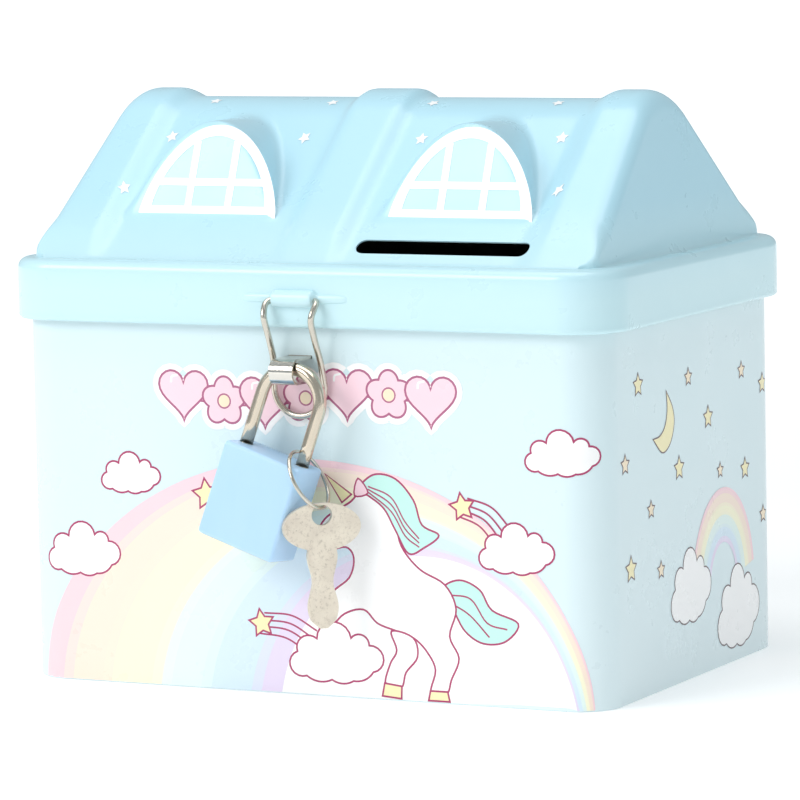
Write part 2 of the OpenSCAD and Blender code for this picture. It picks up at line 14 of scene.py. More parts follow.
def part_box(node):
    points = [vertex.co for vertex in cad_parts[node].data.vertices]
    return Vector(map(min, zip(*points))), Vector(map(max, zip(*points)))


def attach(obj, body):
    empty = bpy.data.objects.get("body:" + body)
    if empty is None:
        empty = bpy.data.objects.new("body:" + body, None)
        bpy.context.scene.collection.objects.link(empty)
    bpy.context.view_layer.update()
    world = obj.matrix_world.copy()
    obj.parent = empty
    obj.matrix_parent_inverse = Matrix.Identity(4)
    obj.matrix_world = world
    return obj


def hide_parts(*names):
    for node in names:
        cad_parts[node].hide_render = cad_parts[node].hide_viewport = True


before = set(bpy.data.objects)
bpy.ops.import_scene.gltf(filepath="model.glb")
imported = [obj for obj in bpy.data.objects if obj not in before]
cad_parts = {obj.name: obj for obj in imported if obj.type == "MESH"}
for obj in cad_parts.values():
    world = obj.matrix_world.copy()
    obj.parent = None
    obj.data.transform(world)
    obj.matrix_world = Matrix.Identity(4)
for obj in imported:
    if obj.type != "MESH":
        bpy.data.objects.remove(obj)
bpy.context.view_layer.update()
MM = 0.001
TAU = 2 * math.pi


# ---------------------------------------------------------------- sizes

def box_mm(node):
    low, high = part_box(node)
    return np.array(low) / MM, np.array(high) / MM


WALL_HIGH = box_mm("body_wall")[1]
LID_HIGH = box_mm("lid_shell")[1]
STAPLE_LOW, STAPLE_HIGH = box_mm("staple")
WIRE_LOW = box_mm("hasp_wire")[0]

HALF_W = WALL_HIGH[0]
HALF_D = WALL_HIGH[1]
BODY_R = 8.0
TIN = 0.3
SKIRT_GAP = 2.5
SKIRT_HALF_W = HALF_W + SKIRT_GAP
SKIRT_HALF_D = HALF_D + SKIRT_GAP
SKIRT_R = BODY_R + SKIRT_GAP
SKIRT_Z = 68.3
LEDGE_Z = 79.8
SKIRT_EDGE_R = 2.0
CURL_R = 0.8
RIB_H = 1.4
RIDGE_Z = LID_HIGH[2] - RIB_H
ROOF_HALF_W = 58.2
ROOF_HALF_D = 39.5
GABLE_LEAN = 3.2
RIDGE_R = 16.0
DORMER_X = 26.5
DORMER_Y = 33.8
DORMER_CROWN = 24.9
DORMER_HALF_W = 17.5
DORMER_LEAN = math.radians(22)
SLOT_L = 35.0
SLOT_W = 3.6
SLOT_Y = 36.0
HASP_X = 0.4
HASP_WIRE_R = 0.6
HASP_LOOP_R = 5.2
PIVOT_Y = -44.9
PIVOT_Z = 73.4
HINGE_Y = 46.2
HINGE_Z = 68.6
PRINT_LIFT = 0.045
STAR_DENT = 0.52
WINDOW_FOOT = 7.3
WINDOW_HALF = 14.6
WINDOW_TOP = 18.2
FOOT_FILLET = ((0.45, -0.06), (0.6, 0.12))


def slope_angle():
    """The slope's angle, tangent to the ridge rounding and down to the ledge at ROOF_HALF_D."""
    low, high = math.radians(20), math.radians(60)
    for _ in range(60):
        a = (low + high) / 2
        drop = ROOF_HALF_D * math.tan(a) - RIDGE_R * (1 / math.cos(a) - 1)
        low, high = (a, high) if drop < RIDGE_Z - LEDGE_Z else (low, a)
    return a


SLOPE = slope_angle()


# ---------------------------------------------------------------- colours

def srgb(r, g, b):
    """A colour in linear light from its 0 to 255 display values."""
    def lin(c):
        c = c / 255
        return c / 12.92 if c <= 0.04045 else ((c + 0.055) / 1.055) ** 2.4
    return (lin(r), lin(g), lin(b), 1.0)


LID_BLUE = srgb(182, 224, 238)
LID_MINT = srgb(201, 233, 239)
WHITE = srgb(255, 253, 252)
BURGUNDY = srgb(172, 44, 98)
MAUVE = srgb(176, 92, 130)
BROWN = srgb(92, 70, 76)
PINK = srgb(253, 216, 226)
YELLOW = srgb(250, 238, 186)
CREAM = srgb(252, 232, 200)
MINT = srgb(196, 240, 230)
BLUSH = srgb(250, 190, 200)
BOW = [srgb(252, 214, 220), srgb(253, 231, 213), srgb(253, 247, 214),
       srgb(228, 245, 240), srgb(216, 235, 248), srgb(233, 219, 242)]


# ---------------------------------------------------------------- materials

class Nodes:
    """A material's node tree, with short ways to add what the materials here share."""

    def __init__(self, name):
        self.mat = bpy.data.materials.new(name)
        self.mat.use_nodes = True
        self.tree = self.mat.node_tree
        self.shader = self.tree.nodes["Principled BSDF"]

    def add(self, kind, **props):
        node = self.tree.nodes.new(kind)
        for key, value in props.items():
            setattr(node, key, value)
        return node

    def link(self, out, into):
        self.tree.links.new(out, into)

    def set(self, **values):
        for key, value in values.items():
            self.shader.inputs[key.replace("_", " ")].default_value = value

    def place(self):
        return self.add("ShaderNodeTexCoord").outputs["Object"]

    def noise(self, scale, detail=3.0, rough=0.5, stretch=None):
        source = self.place()
        if stretch:
            mapping = self.add("ShaderNodeMapping")
            mapping.inputs["Scale"].default_value = stretch
            self.link(source, mapping.inputs["Vector"])
            source = mapping.outputs["Vector"]
        node = self.add("ShaderNodeTexNoise")
        node.inputs["Scale"].default_value = scale
        node.inputs["Detail"].default_value = detail
        node.inputs["Roughness"].default_value = rough
        self.link(source, node.inputs["Vector"])
        return node.outputs["Fac"]

    def spread(self, fac, low, high, start=0.35, end=0.65):
        """Spreads a factor between two values."""
        node = self.add("ShaderNodeMapRange")
        node.inputs["From Min"].default_value = start
        node.inputs["From Max"].default_value = end
        node.inputs["To Min"].default_value = low
        node.inputs["To Max"].default_value = high
        self.link(fac, node.inputs["Value"])
        return node.outputs["Result"]

    def mix(self, fac, a, b, mode="MIX"):
        node = self.add("ShaderNodeMix", data_type="RGBA", blend_type=mode)
        for value, key in ((fac, 0), (a, 6), (b, 7)):
            if isinstance(value, bpy.types.NodeSocket):
                self.link(value, node.inputs[key])
            else:
                node.inputs[key].default_value = value
        return node.outputs[2]

    def bump(self, height, strength, distance):
        node = self.add("ShaderNodeBump")
        node.inputs["Strength"].default_value = strength
        node.inputs["Distance"].default_value = distance
        self.link(height, node.inputs["Height"])
        self.link(node.outputs["Normal"], self.shader.inputs["Normal"])

    def colour(self, out):
        self.link(out, self.shader.inputs["Base Color"])

    def rough(self, out, low, high):
        self.link(self.spread(out, low, high), self.shader.inputs["Roughness"])

    def height(self, low, high):
        """A factor that is 0 at the height low and 1 at the height high, both in metres."""
        split = self.add("ShaderNodeSeparateXYZ")
        self.link(self.place(), split.inputs[0])
        return self.spread(split.outputs["Z"], 0.0, 1.0, low, high)


def enamel_gloss(n):
    """The soft gloss and faint orange peel that paint and ink share."""
    n.rough(n.noise(90, 5, 0.6), 0.26, 0.36)
    n.set(Coat_Weight=0.35, Coat_Roughness=0.16, IOR=1.5)
    n.bump(n.noise(420, 2), 0.05, 0.00003)


def lacquer(name, colour_of):
    """Baked enamel on tinplate, with a slightly cloudy tint."""
    n = Nodes(name)
    n.colour(n.mix(n.spread(n.noise(26, 4), 0.0, 0.05), colour_of(n), srgb(226, 240, 246), "MULTIPLY"))
    enamel_gloss(n)
    return n.mat


def metal(name, colour, rough, brushed=None, tarnish=srgb(150, 128, 96)):
    """Plated metal: drawn or brushed streaks, fingerprints in the gloss, and a warm tarnish."""
    n = Nodes(name)
    blot = n.noise(160, 6, 0.65)
    n.colour(n.mix(n.spread(blot, 0.0, 0.12, 0.45, 0.75), colour, tarnish))
    streak = n.noise(900, 4, 0.6, brushed)
    n.rough(streak, *rough)
    n.set(Metallic=1.0)
    n.bump(streak, 0.12, 0.00002)
    return n.mat


def box_lacquer():
    """Sky-coloured enamel that pales towards the foot."""
    def colour(n):
        return n.mix(n.height(0.005, 0.070), srgb(225, 240, 243), srgb(217, 237, 241))
    return lacquer("sky_lacquer", colour)


def lid_lacquer():
    """Light blue roof that turns a little greener on the skirt."""
    def colour(n):
        soft = n.mix(n.spread(n.noise(18, 2), 0.0, 0.35), LID_BLUE, srgb(187, 227, 241))
        return n.mix(n.height(0.074, 0.090), LID_MINT, soft)
    return lacquer("roof_lacquer", colour)


def ink():
    """Printed ink that takes its colour from the print's own regions."""
    n = Nodes("print_ink")
    colour = n.add("ShaderNodeVertexColor", layer_name="ink").outputs["Color"]
    grain = n.spread(n.noise(3200, 2), 0.0, 0.06, 0.55, 0.75)
    n.colour(n.mix(grain, colour, srgb(228, 226, 230), "MULTIPLY"))
    enamel_gloss(n)
    return n.mat


def bare_tin():
    """Tinplate inside the box: crystalline patches and rolling lines."""
    n = Nodes("bare_tin")
    cells = n.add("ShaderNodeTexVoronoi")
    cells.inputs["Scale"].default_value = 260
    n.link(n.place(), cells.inputs["Vector"])
    patches = n.spread(cells.outputs["Distance"], 0.0, 0.3, 0.1, 0.9)
    n.colour(n.mix(patches, srgb(206, 208, 208), srgb(172, 176, 178)))
    n.rough(n.noise(500, 4, 0.6, (1, 1, 14)), 0.28, 0.44)
    n.set(Metallic=1.0)
    return n.mat


def jacket_plastic():
    """Moulded sky-blue plastic with a fine spark-eroded texture and faint flow marks."""
    n = Nodes("jacket_plastic")
    flow = n.spread(n.noise(70, 4, 0.6, (1, 1, 0.3)), 0.0, 1.0)
    n.colour(n.mix(flow, srgb(180, 217, 250), srgb(187, 222, 253)))
    n.rough(n.noise(240, 4), 0.34, 0.46)
    n.set(IOR=1.46, Subsurface_Weight=0.12, Subsurface_Scale=0.002)
    n.shader.inputs["Subsurface Radius"].default_value = (0.6, 0.9, 1.0)
    n.bump(n.noise(2200, 3, 0.6), 0.16, 0.00004)
    return n.mat


def key_metal():
    """Blasted nickel with a champagne tint and dark grains."""
    n = Nodes("key_metal")
    grain = n.noise(1700, 5, 0.75)
    warm = n.mix(n.spread(n.noise(220, 4), 0.0, 1.0), srgb(240, 229, 212), srgb(226, 214, 198))
    dark = n.mix(n.spread(grain, 0.0, 0.5, STAR_DENT, 0.72), warm, srgb(158, 143, 128))
    n.colour(n.mix(n.spread(n.noise(2300, 4, 0.7), 0.0, 0.5, 0.56, 0.76), dark, srgb(236, 226, 212)))
    n.rough(grain, 0.44, 0.62)
    n.set(Metallic=0.72)
    n.bump(grain, 0.5, 0.00005)
    return n.mat


def backdrop_white():
    """A white table that glows more the farther it is from the box, as a lit backdrop does."""
    n = Nodes("floor_white")
    away = n.add("ShaderNodeVectorMath", operation="LENGTH")
    n.link(n.place(), away.inputs[0])
    n.link(n.spread(away.outputs["Value"], 0.42, 1.4, 0.25, 1.3), n.shader.inputs["Emission Strength"])
    n.colour(n.mix(n.spread(n.noise(14, 3), 0.0, 0.02), srgb(252, 252, 252), srgb(236, 240, 244)))
    n.shader.inputs["Emission Color"].default_value = (1.0, 1.0, 1.0, 1.0)
    n.set(Roughness=0.6)
    return n.mat


SKY_LACQUER = box_lacquer()
ROOF_LACQUER = lid_lacquer()
INK = ink()
BARE_TIN = bare_tin()
NICKEL = metal("nickel_strip", srgb(214, 210, 202), (0.10, 0.22), (1, 30, 1))
WIRE = metal("nickel_wire", srgb(206, 200, 188), (0.12, 0.26), (1, 1, 0.1))
SHACKLE = metal("shackle_nickel", srgb(214, 202, 184), (0.12, 0.24), (1, 1, 0.08))
ZINC = metal("cast_zinc", srgb(190, 190, 188), (0.34, STAR_DENT), None, srgb(150, 150, 150))
SPRING = metal("spring_wire", srgb(182, 182, 180), (0.22, 0.36))
BRASS = metal("turned_brass", srgb(214, 182, 110), (0.18, 0.32), (1, 1, 20))
JACKET = jacket_plastic()
KEY = key_metal()


# ---------------------------------------------------------------- meshes

def add_object(name, data):
    obj = bpy.data.objects.new(name, data)
    bpy.context.scene.collection.objects.link(obj)
    return obj


@contextmanager
def editing(mesh):
    """Opens a mesh for editing, and writes it back afterwards."""
    bm = bmesh.new()
    bm.from_mesh(mesh)
    yield bm
    bm.to_mesh(mesh)
    bm.free()


def add_piece(name, verts, faces, body, slot, *mats):
    """A mesh piece from points in millimetres."""
    mesh = bpy.data.meshes.new(name)
    mesh.from_pydata([tuple(float(c) * MM for c in v) for v in verts], [], faces)
    for mat in mats:
        mesh.materials.append(mat)
    obj = add_object(name, mesh)
    mesh.polygons.foreach_set("use_smooth", [True] * len(mesh.polygons))
    mesh.update()
    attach(obj, body)
    return obj


def apply_modifiers(obj):
    """Replaces an object's mesh with its evaluated one."""
    graph = bpy.context.evaluated_depsgraph_get()
    new = bpy.data.meshes.new_from_object(obj.evaluated_get(graph))
    old = obj.data
    obj.modifiers.clear()
    obj.data = new
    new.name = obj.name
    bpy.data.meshes.remove(old)


def sharpen(obj, degrees):
    """Marks a crease wherever two faces meet at more than this angle."""
    limit = math.radians(degrees)
    with editing(obj.data) as bm:
        bm.normal_update()
        for edge in bm.edges:
            edge.smooth = not (len(edge.link_faces) == 2 and edge.calc_face_angle(0) > limit)


def outline_sides(half_w, half_d, r):
    """Each stretch's length and whether it is a corner, from the middle of the front round the box."""
    arc, front, side = math.pi / 2 * r, half_w - r, 2 * (half_d - r)
    return ((front, False), (arc, True), (side, False), (arc, True), (2 * front, False),
            (arc, True), (side, False), (arc, True), (front, False))


def outline_length(half_w, half_d, r):
    return 4 * (half_w - r) + 4 * (half_d - r) + TAU * r


def outline_point(half_w, half_d, r, s):
    """A point on a rounded rectangle and its outward normal, at the distance s along it.
    s is 0 in the middle of the front and grows towards +X, then round the box."""
    s = s % outline_length(half_w, half_d, r)
    for index, (length, curved) in enumerate(outline_sides(half_w, half_d, r)):
        k = index // 2
        if s <= length + 1e-9:
            break
        s -= length
    if curved:
        a = -math.pi / 2 + (k + s / length) * math.pi / 2
        cx = (half_w - r) * (1 if k in (0, 1) else -1)
        cy = (half_d - r) * (1 if k in (1, 2) else -1)
        n = (math.cos(a), math.sin(a))
        return (cx + r * n[0], cy + r * n[1]), n
    if k == 0:
        return (s, -half_d), (0, -1)
    if k == 1:
        return (half_w, -half_d + r + s), (1, 0)
    if k == 2:
        return (half_w - r - s, half_d), (0, 1)
    if k == 3:
        return (-half_w, half_d - r - s), (-1, 0)
    return (-(half_w - r) + s, -half_d), (0, -1)


def outline_steps(half_w, half_d, r, corner=14, side=24):
    """Distances along a rounded rectangle, dense at its corners."""
    stops, s = [], 0.0
    for index, (length, curved) in enumerate(outline_sides(half_w, half_d, r)):
        n = corner if curved else side // 2 if index in (0, 8) else side
        stops += [s + length * i / n for i in range(n)]
        s += length
    return stops


def sweep_round(profile, half_w, half_d, r):
    """Sweeps a closed profile of (inset, z) points round a rounded rectangle."""
    steps = outline_steps(half_w, half_d, r)
    verts, faces = [], []
    for s in steps:
        (x, y), (nx, ny) = outline_point(half_w, half_d, r, s)
        verts += [(x - nx * inset, y - ny * inset, z) for inset, z in profile]
    m, n = len(profile), len(steps)
    for i in range(n):
        j = (i + 1) % n
        for k in range(m):
            q = (k + 1) % m
            faces.append((i * m + k, j * m + k, j * m + q, i * m + q))
    return verts, faces


def arc_points(cx, cz, r, a0, a1, n):
    return [(cx + r * math.cos(math.radians(a0 + (a1 - a0) * i / n)),
             cz + r * math.sin(math.radians(a0 + (a1 - a0) * i / n))) for i in range(n + 1)]


def tube(path, radius, sides=16, closed=False):
    """A round wire along a list of points."""
    p = [Vector(v) for v in path]
    n = len(p)
    verts, faces = [], []
    side = None
    for i in range(n):
        a = p[(i - 1) % n] if closed or i else p[0]
        b = p[(i + 1) % n] if closed or i < n - 1 else p[-1]
        t = (b - a).normalized()
        side = (side or t.orthogonal())
        side = (side - t * side.dot(t)).normalized()
        up = t.cross(side)
        verts += [p[i] + radius * (math.cos(TAU * k / sides) * side + math.sin(TAU * k / sides) * up)
                  for k in range(sides)]
    for i in range(n if closed else n - 1):
        j = (i + 1) % n
        for k in range(sides):
            q = (k + 1) % sides
            faces.append((i * sides + k, i * sides + q, j * sides + q, j * sides + k))
    if not closed:
        faces.append(tuple(range(sides))[::-1])
        faces.append(tuple((n - 1) * sides + k for k in range(sides)))
    return verts, faces


def smooth_path(points, per=6, closed=False):
    """A Catmull-Rom curve through the points."""
    p = [np.array(v, float) for v in points]
    n = len(p)
    out = []
    for i in range(n if closed else n - 1):
        a = p[(i - 1) % n] if closed or i else 2 * p[0] - p[1]
        b, c = p[i], p[(i + 1) % n]
        d = p[(i + 2) % n] if closed or i < n - 2 else 2 * p[-1] - p[-2]
        for k in range(per):
            t = k / per
            out.append(0.5 * (2 * b + (c - a) * t + (2 * a - 5 * b + 4 * c - d) * t * t
                              + (3 * b - a - 3 * c + d) * t ** 3))
    return out if closed else out + [p[-1]]


# ---------------------------------------------------------------- print

class Print:
    """Shapes in painter's order on one flat sheet, made into one mesh of clean coloured regions."""

    def __init__(self):
        self.shapes = []

    def fill(self, points, colour):
        self.shapes.append(([np.array(points, float)], colour))

    def stroke(self, points, width, colour, closed=False):
        """A line of even width, with pointed joins cut back."""
        p = np.array(points, float)
        n = len(p)
        left, right = [], []
        for i in range(n):
            a = p[(i - 1) % n] if closed or i else p[i]
            b = p[(i + 1) % n] if closed or i < n - 1 else p[i]
            d1 = p[i] - a
            d2 = b - p[i]
            d1 = d1 / (np.linalg.norm(d1) or 1)
            d2 = d2 / (np.linalg.norm(d2) or 1)
            t = d1 + d2
            t = t / (np.linalg.norm(t) or 1)
            normal = np.array([-t[1], t[0]])
            ref = d2 if np.any(d2) else d1
            across = abs(normal @ np.array([-ref[1], ref[0]]))
            reach = width / 2 / max(across, 0.45)
            left.append(p[i] + normal * reach)
            right.append(p[i] - normal * reach)
        if closed:
            self.shapes.append(([np.array(left), np.array(right)], colour))
        else:
            self.shapes.append(([np.array(left + right[::-1])], colour))

    def outlined(self, points, colour, line, width=0.36):
        self.fill(points, colour)
        self.stroke(points, width, line, closed=True)

    def clip_below(self, z):
        """Lifts whatever hangs under the height z up to it."""
        for rings, _ in self.shapes:
            for ring in rings:
                ring[:, 1] = np.maximum(ring[:, 1], z)

    def build(self, name, body, slot, place, step=None):
        """place turns a sheet point into a point in space. step adds points inside for curved places."""
        points, edges = [], []
        for rings, _ in self.shapes:
            for ring in rings:
                first = len(points)
                points += [Vector(v) for v in ring]
                count = len(ring)
                edges += [(first + i, first + (i + 1) % count) for i in range(count)]
        if step:
            low = np.min([np.min(r, axis=0) for rings, _ in self.shapes for r in rings], axis=0)
            high = np.max([np.max(r, axis=0) for rings, _ in self.shapes for r in rings], axis=0)
            for x in np.arange(low[0] + step / 2, high[0], step):
                points += [Vector((x, z)) for z in np.arange(low[1] + step / 2, high[1], step)]
        verts, _, faces, _, _, _ = geometry.delaunay_2d_cdt(points, edges, [], 0, 1e-5)
        flat = np.array([tuple(v) for v in verts])
        tris = np.array([f for f in faces if len(f) == 3])
        centre = flat[tris].mean(axis=1)
        owner = np.full(len(tris), -1)
        for index, (rings, _) in enumerate(self.shapes):
            inside = np.zeros(len(tris), bool)
            for ring in rings:
                inside ^= in_polygon(centre, ring)
            owner[inside] = index
        keep = owner >= 0
        tris, owner = tris[keep], owner[keep]
        used, remap = np.unique(tris, return_inverse=True)
        tris = remap.reshape(-1, 3)
        placed = [place(*flat[i]) for i in used]
        obj = add_piece(name, placed, [tuple(t) for t in tris.tolist()], body, slot, INK)
        layer = obj.data.color_attributes.new("ink", "FLOAT_COLOR", "CORNER")
        colours = np.array([self.shapes[i][1] for i in owner])
        layer.data.foreach_set("color", np.repeat(colours, 3, axis=0).ravel())
        face_out(obj, place)
        return obj


def in_polygon(points, ring):
    """Which points lie inside a closed ring, by the even-odd rule."""
    x, y = points[:, 0], points[:, 1]
    near = ((x >= ring[:, 0].min()) & (x <= ring[:, 0].max())
            & (y >= ring[:, 1].min()) & (y <= ring[:, 1].max()))
    inside = np.zeros(len(points), bool)
    px, py = x[near], y[near]
    hit = np.zeros(len(px), bool)
    for a, b in zip(ring, np.roll(ring, -1, axis=0)):
        if a[1] == b[1]:
            continue
        cross = (a[1] > py) != (b[1] > py)
        hit ^= cross & (px < (b[0] - a[0]) * (py - a[1]) / (b[1] - a[1]) + a[0])
    inside[near] = hit
    return inside


def face_out(obj, place):
    """Turns a print's faces the same way as its sheet's own outward normal."""
    mesh = obj.data
    o = np.array(place(0.0, 10.0))
    u = np.array(place(0.1, 10.0)) - o
    v = np.array(place(0.0, 10.1)) - o
    outward = place.outward if hasattr(place, "outward") else Vector(np.cross(u, v))
    if mesh.polygons and sum(p.normal.dot(outward) * p.area for p in mesh.polygons) < 0:
        mesh.flip_normals()


def wall_place():
    """Sheet to wall: u runs round the body from the middle of the front, z is the height."""
    def place(u, z):
        (x, y), (nx, ny) = outline_point(HALF_W, HALF_D, BODY_R, u)
        return (x + nx * PRINT_LIFT, y + ny * PRINT_LIFT, z)
    return place


def ring_of(cx, cz, r, n=24, squash=1.0):
    return [(cx + r * math.cos(TAU * k / n), cz + squash * r * math.sin(TAU * k / n)) for k in range(n)]


def star(cx, cz, r, inner=0.5, turn=0.0):
    out = []
    for k in range(10):
        a = math.radians(90 + 36 * k + turn)
        rad = r * (inner if k % 2 else 1.0)
        out.append((cx + rad * math.cos(a), cz + rad * math.sin(a)))
    return out


def scallops(anchors, bulge, per=9):
    """A closed outline of arcs that bulge outwards between the anchors, which run anticlockwise."""
    out = []
    n = len(anchors)
    for i in range(n):
        a, b = np.array(anchors[i], float), np.array(anchors[(i + 1) % n], float)
        k = bulge[i] if isinstance(bulge, (list, tuple)) else bulge
        chord = b - a
        out_dir = np.array([chord[1], -chord[0]])
        mid = (a + b) / 2
        half = np.linalg.norm(chord) / 2
        sag = k * half
        radius = (half * half + sag * sag) / (2 * sag)
        centre = mid - out_dir / (2 * half) * (radius - sag)
        a0 = math.atan2(*(a - centre)[::-1])
        a1 = math.atan2(*(b - centre)[::-1])
        if a1 < a0:
            a1 += TAU
        out += [tuple(centre + radius * np.array([math.cos(a0 + (a1 - a0) * t / per),
                                                  math.sin(a0 + (a1 - a0) * t / per)])) for t in range(per)]
    return out


def cloud(cx, cz, w, h):
    """A cloud, w wide and h high: round ends, three puffs on top and three flatter ones below."""
    anchors = [(-0.44, 0.02), (-0.34, -0.36), (-0.06, -0.40), (0.18, -0.40), (0.40, -0.24),
               (0.36, 0.18), (0.16, 0.28), (-0.22, 0.24)]
    bulge = [1.0, 0.30, 0.30, 0.30, 0.95, 0.75, 0.95, 0.75]
    pts = scallops([(x * w * 0.86, z * h) for x, z in anchors], bulge)
    low, high = np.min(pts, axis=0), np.max(pts, axis=0)
    mid, size = (low + high) / 2, high - low
    return [tuple((np.array(p) - mid) / size * (w, h) + (cx, cz)) for p in pts]


def shooting_star(sheet, cx, cz, r, end, line=BURGUNDY, width=0.34):
    """A star with four trailing lines that bow over and end side by side."""
    end = np.array(end, float)
    start = np.array([cx, cz], float)
    along = end - start
    across = np.array([-along[1], along[0]]) / np.linalg.norm(along)
    for side in (-1, -0.3, 0.3, 1):
        a = start + across * side * r * 0.75
        b = end + across * side * r * 0.9
        mid = (a + b) / 2 + across * r * 0.45
        sheet.stroke(smooth_path([a, mid, b], 8), width, line)
    sheet.outlined(star(cx, cz, r, STAR_DENT, 10), YELLOW, line, width)


def heart(cx, cz, r):
    out = []
    for k in range(40):
        t = TAU * k / 40
        out.append((cx + r * 0.062 * 16 * math.sin(t) ** 3,
                    cz + r * 0.062 * (13 * math.cos(t) - 5 * math.cos(2 * t) - 2 * math.cos(3 * t)
                                      - math.cos(4 * t) + 2)))
    return out


def flower(cx, cz, r, petals=5):
    out = []
    for k in range(60):
        a = TAU * k / 60
        rad = r * (0.74 + 0.26 * abs(math.cos(petals * a / 2)))
        out.append((cx + rad * math.sin(a), cz + rad * math.cos(a)))
    return out


def grown(points, by):
    """An outline moved outwards, for a halo."""
    p = np.array(points)
    nxt, prv = np.roll(p, -1, axis=0), np.roll(p, 1, axis=0)
    t = nxt - prv
    t /= np.linalg.norm(t, axis=1)[:, None]
    area = np.sum(p[:, 0] * nxt[:, 1] - nxt[:, 0] * p[:, 1])
    normal = np.stack([t[:, 1], -t[:, 0]], 1) * (1 if area > 0 else -1)
    return p + normal * by


def garland(sheet, cx, cz, half):
    """Hearts and flowers on a gently waving thread, each with a white halo."""
    items = []
    count = 7
    for k in range(count):
        t = -1 + 2 * k / (count - 1)
        x = cx + half * t
        z = cz + 1.2 * math.sin(3.0 * t)
        items.append(flower(x, z, 4.6) if k % 2 else heart(x, z, 5.2))
    thread = smooth_path([(cx + half * t, cz + 1.2 * math.sin(3.0 * t)) for t in np.linspace(-1, 1, 13)], 4)
    sheet.stroke(thread, 3.0, WHITE)
    for item in items:
        sheet.fill(grown(item, 1.3), WHITE)
    sheet.stroke(thread, 1.5, MAUVE)
    sheet.stroke(thread, 0.8, PINK)
    for k, item in enumerate(items):
        sheet.outlined(item, PINK, MAUVE, 0.42)
        x, z = np.mean(item, axis=0)
        if k % 2:
            sheet.outlined(ring_of(x, z, 1.3), CREAM, MAUVE, 0.3)
        else:
            shine = smooth_path([(x - 2.6, z + 1.6), (x - 2.4, z + 2.7), (x - 1.2, z + 3.0)], 5)
            sheet.stroke(shine, 0.4, WHITE)


def rainbow(sheet, outer, inner, a0, a1, bands=24, border=0.9):
    """Bands between two ellipses, each given as (centre x, centre z, half width, half height)."""
    def curve(f, n=64):
        e = [o + (i - o) * f for o, i in zip(outer, inner)]
        return [(e[0] + e[2] * math.cos(math.radians(a0 + (a1 - a0) * k / n)),
                 e[1] + e[3] * math.sin(math.radians(a0 + (a1 - a0) * k / n))) for k in range(n + 1)]
    sheet.fill(list(grown(curve(0)[::-1], -border)) + curve(0), WHITE)
    for b in range(bands):
        t = (b + 0.5) / bands * (len(BOW) - 1)
        k = min(int(t), len(BOW) - 2)
        mix = step(t - k, 0.3, 0.7)
        colour = tuple(BOW[k][c] * (1 - mix) + BOW[k + 1][c] * mix for c in range(4))
        sheet.fill(curve(b / bands) + curve((b + 1) / bands)[::-1], colour)
    return curve(1)


def pony(sheet):
    """A leaping foal with a horn, drawn for this box: plain rounded shapes and thin outlines."""
    line = 0.36
    tail = smooth_path([(28.2, 21.2), (31.6, 23.0), (35.6, 21.4), (38.0, 17.8), (43.2, 15.6), (40.6, 12.2),
                        (36.2, 11.6), (32.6, 13.6), (30.4, 17.2)], 6, True)
    sheet.outlined(tail, MINT, BURGUNDY, line)
    sheet.stroke(smooth_path([(29.6, 20.2), (33.8, 19.6), (37.0, 15.4), (41.0, 14.4)], 6), 0.3, BURGUNDY)
    sheet.stroke(smooth_path([(30.0, 18.6), (33.6, 16.6), (37.4, 12.8)], 6), 0.3, BURGUNDY)
    body = smooth_path([(10.0, 36.6), (12.6, 39.2), (15.6, 38.2), (18.6, 33.6), (20.0, 28.6), (23.6, 24.6),
                        (28.6, 22.0), (30.8, 17.6), (29.4, 12.6), (31.2, 8.6), (29.6, 4.6), (28.6, 2.0),
                        (25.4, 2.0), (26.4, 6.2), (24.8, 9.4), (22.2, 11.8), (18.6, 13.0), (14.8, 14.2),
                        (12.0, 16.6), (8.0, 15.6), (4.8, 12.8), (3.0, 14.6), (5.6, 19.4), (9.2, 22.4),
                        (10.2, 26.0), (8.6, 28.0), (4.4, 27.2), (2.6, 29.6), (4.4, 33.0),
                        (7.4, 35.0)], 5, True)
    sheet.outlined(body, WHITE, BURGUNDY, line)
    far_leg = smooth_path([(22.0, 11.9), (22.8, 8.4), (20.4, 5.4), (19.4, 2.6), (16.2, 3.0), (17.2, 6.8),
                           (18.6, 9.4), (17.6, 12.9)], 5, True)
    sheet.outlined(far_leg, WHITE, BURGUNDY, line)
    for hoof in ([(25.3, 2.3), (28.8, 2.3), (29.2, 0.5), (24.9, 0.5)],
                 [(16.0, 3.2), (19.5, 2.8), (19.4, 0.5), (15.5, 0.8)],
                 [(5.9, 13.6), (4.3, 15.6), (1.5, 14.4), (3.6, 11.8)]):
        sheet.outlined(hoof, YELLOW, BURGUNDY, line)
    mane = smooth_path([(11.4, 38.8), (14.6, 41.6), (19.0, 41.0), (22.6, 37.2), (24.2, 32.8), (27.6, 31.0),
                        (24.6, 28.6), (21.4, 27.4), (18.8, 31.6), (16.6, 35.4), (13.6, 37.6)], 6, True)
    sheet.outlined(mane, MINT, BURGUNDY, line)
    for offset in (0.0, 1.3, 2.6):
        sheet.stroke(smooth_path([(13.4, 39.4 - offset * 0.4), (18.0, 37.6 - offset), (20.8, 33.2 - offset),
                                  (23.6, 30.2 - offset * 0.6)], 6), 0.28, BURGUNDY)
    sheet.outlined([(8.0, 36.2), (10.0, 37.8), (4.6, 41.4)], YELLOW, BURGUNDY, 0.3)
    sheet.outlined(smooth_path([(10.6, 37.6), (11.4, 40.8), (13.4, 38.2)], 4, True), PINK, BURGUNDY, 0.3)
    sheet.stroke(smooth_path([(6.6, 32.2), (7.4, 31.6), (8.2, 32.2)], 5), 0.36, BURGUNDY)
    sheet.fill(ring_of(5.6, 29.6, 0.8, 16, 0.7), BLUSH)


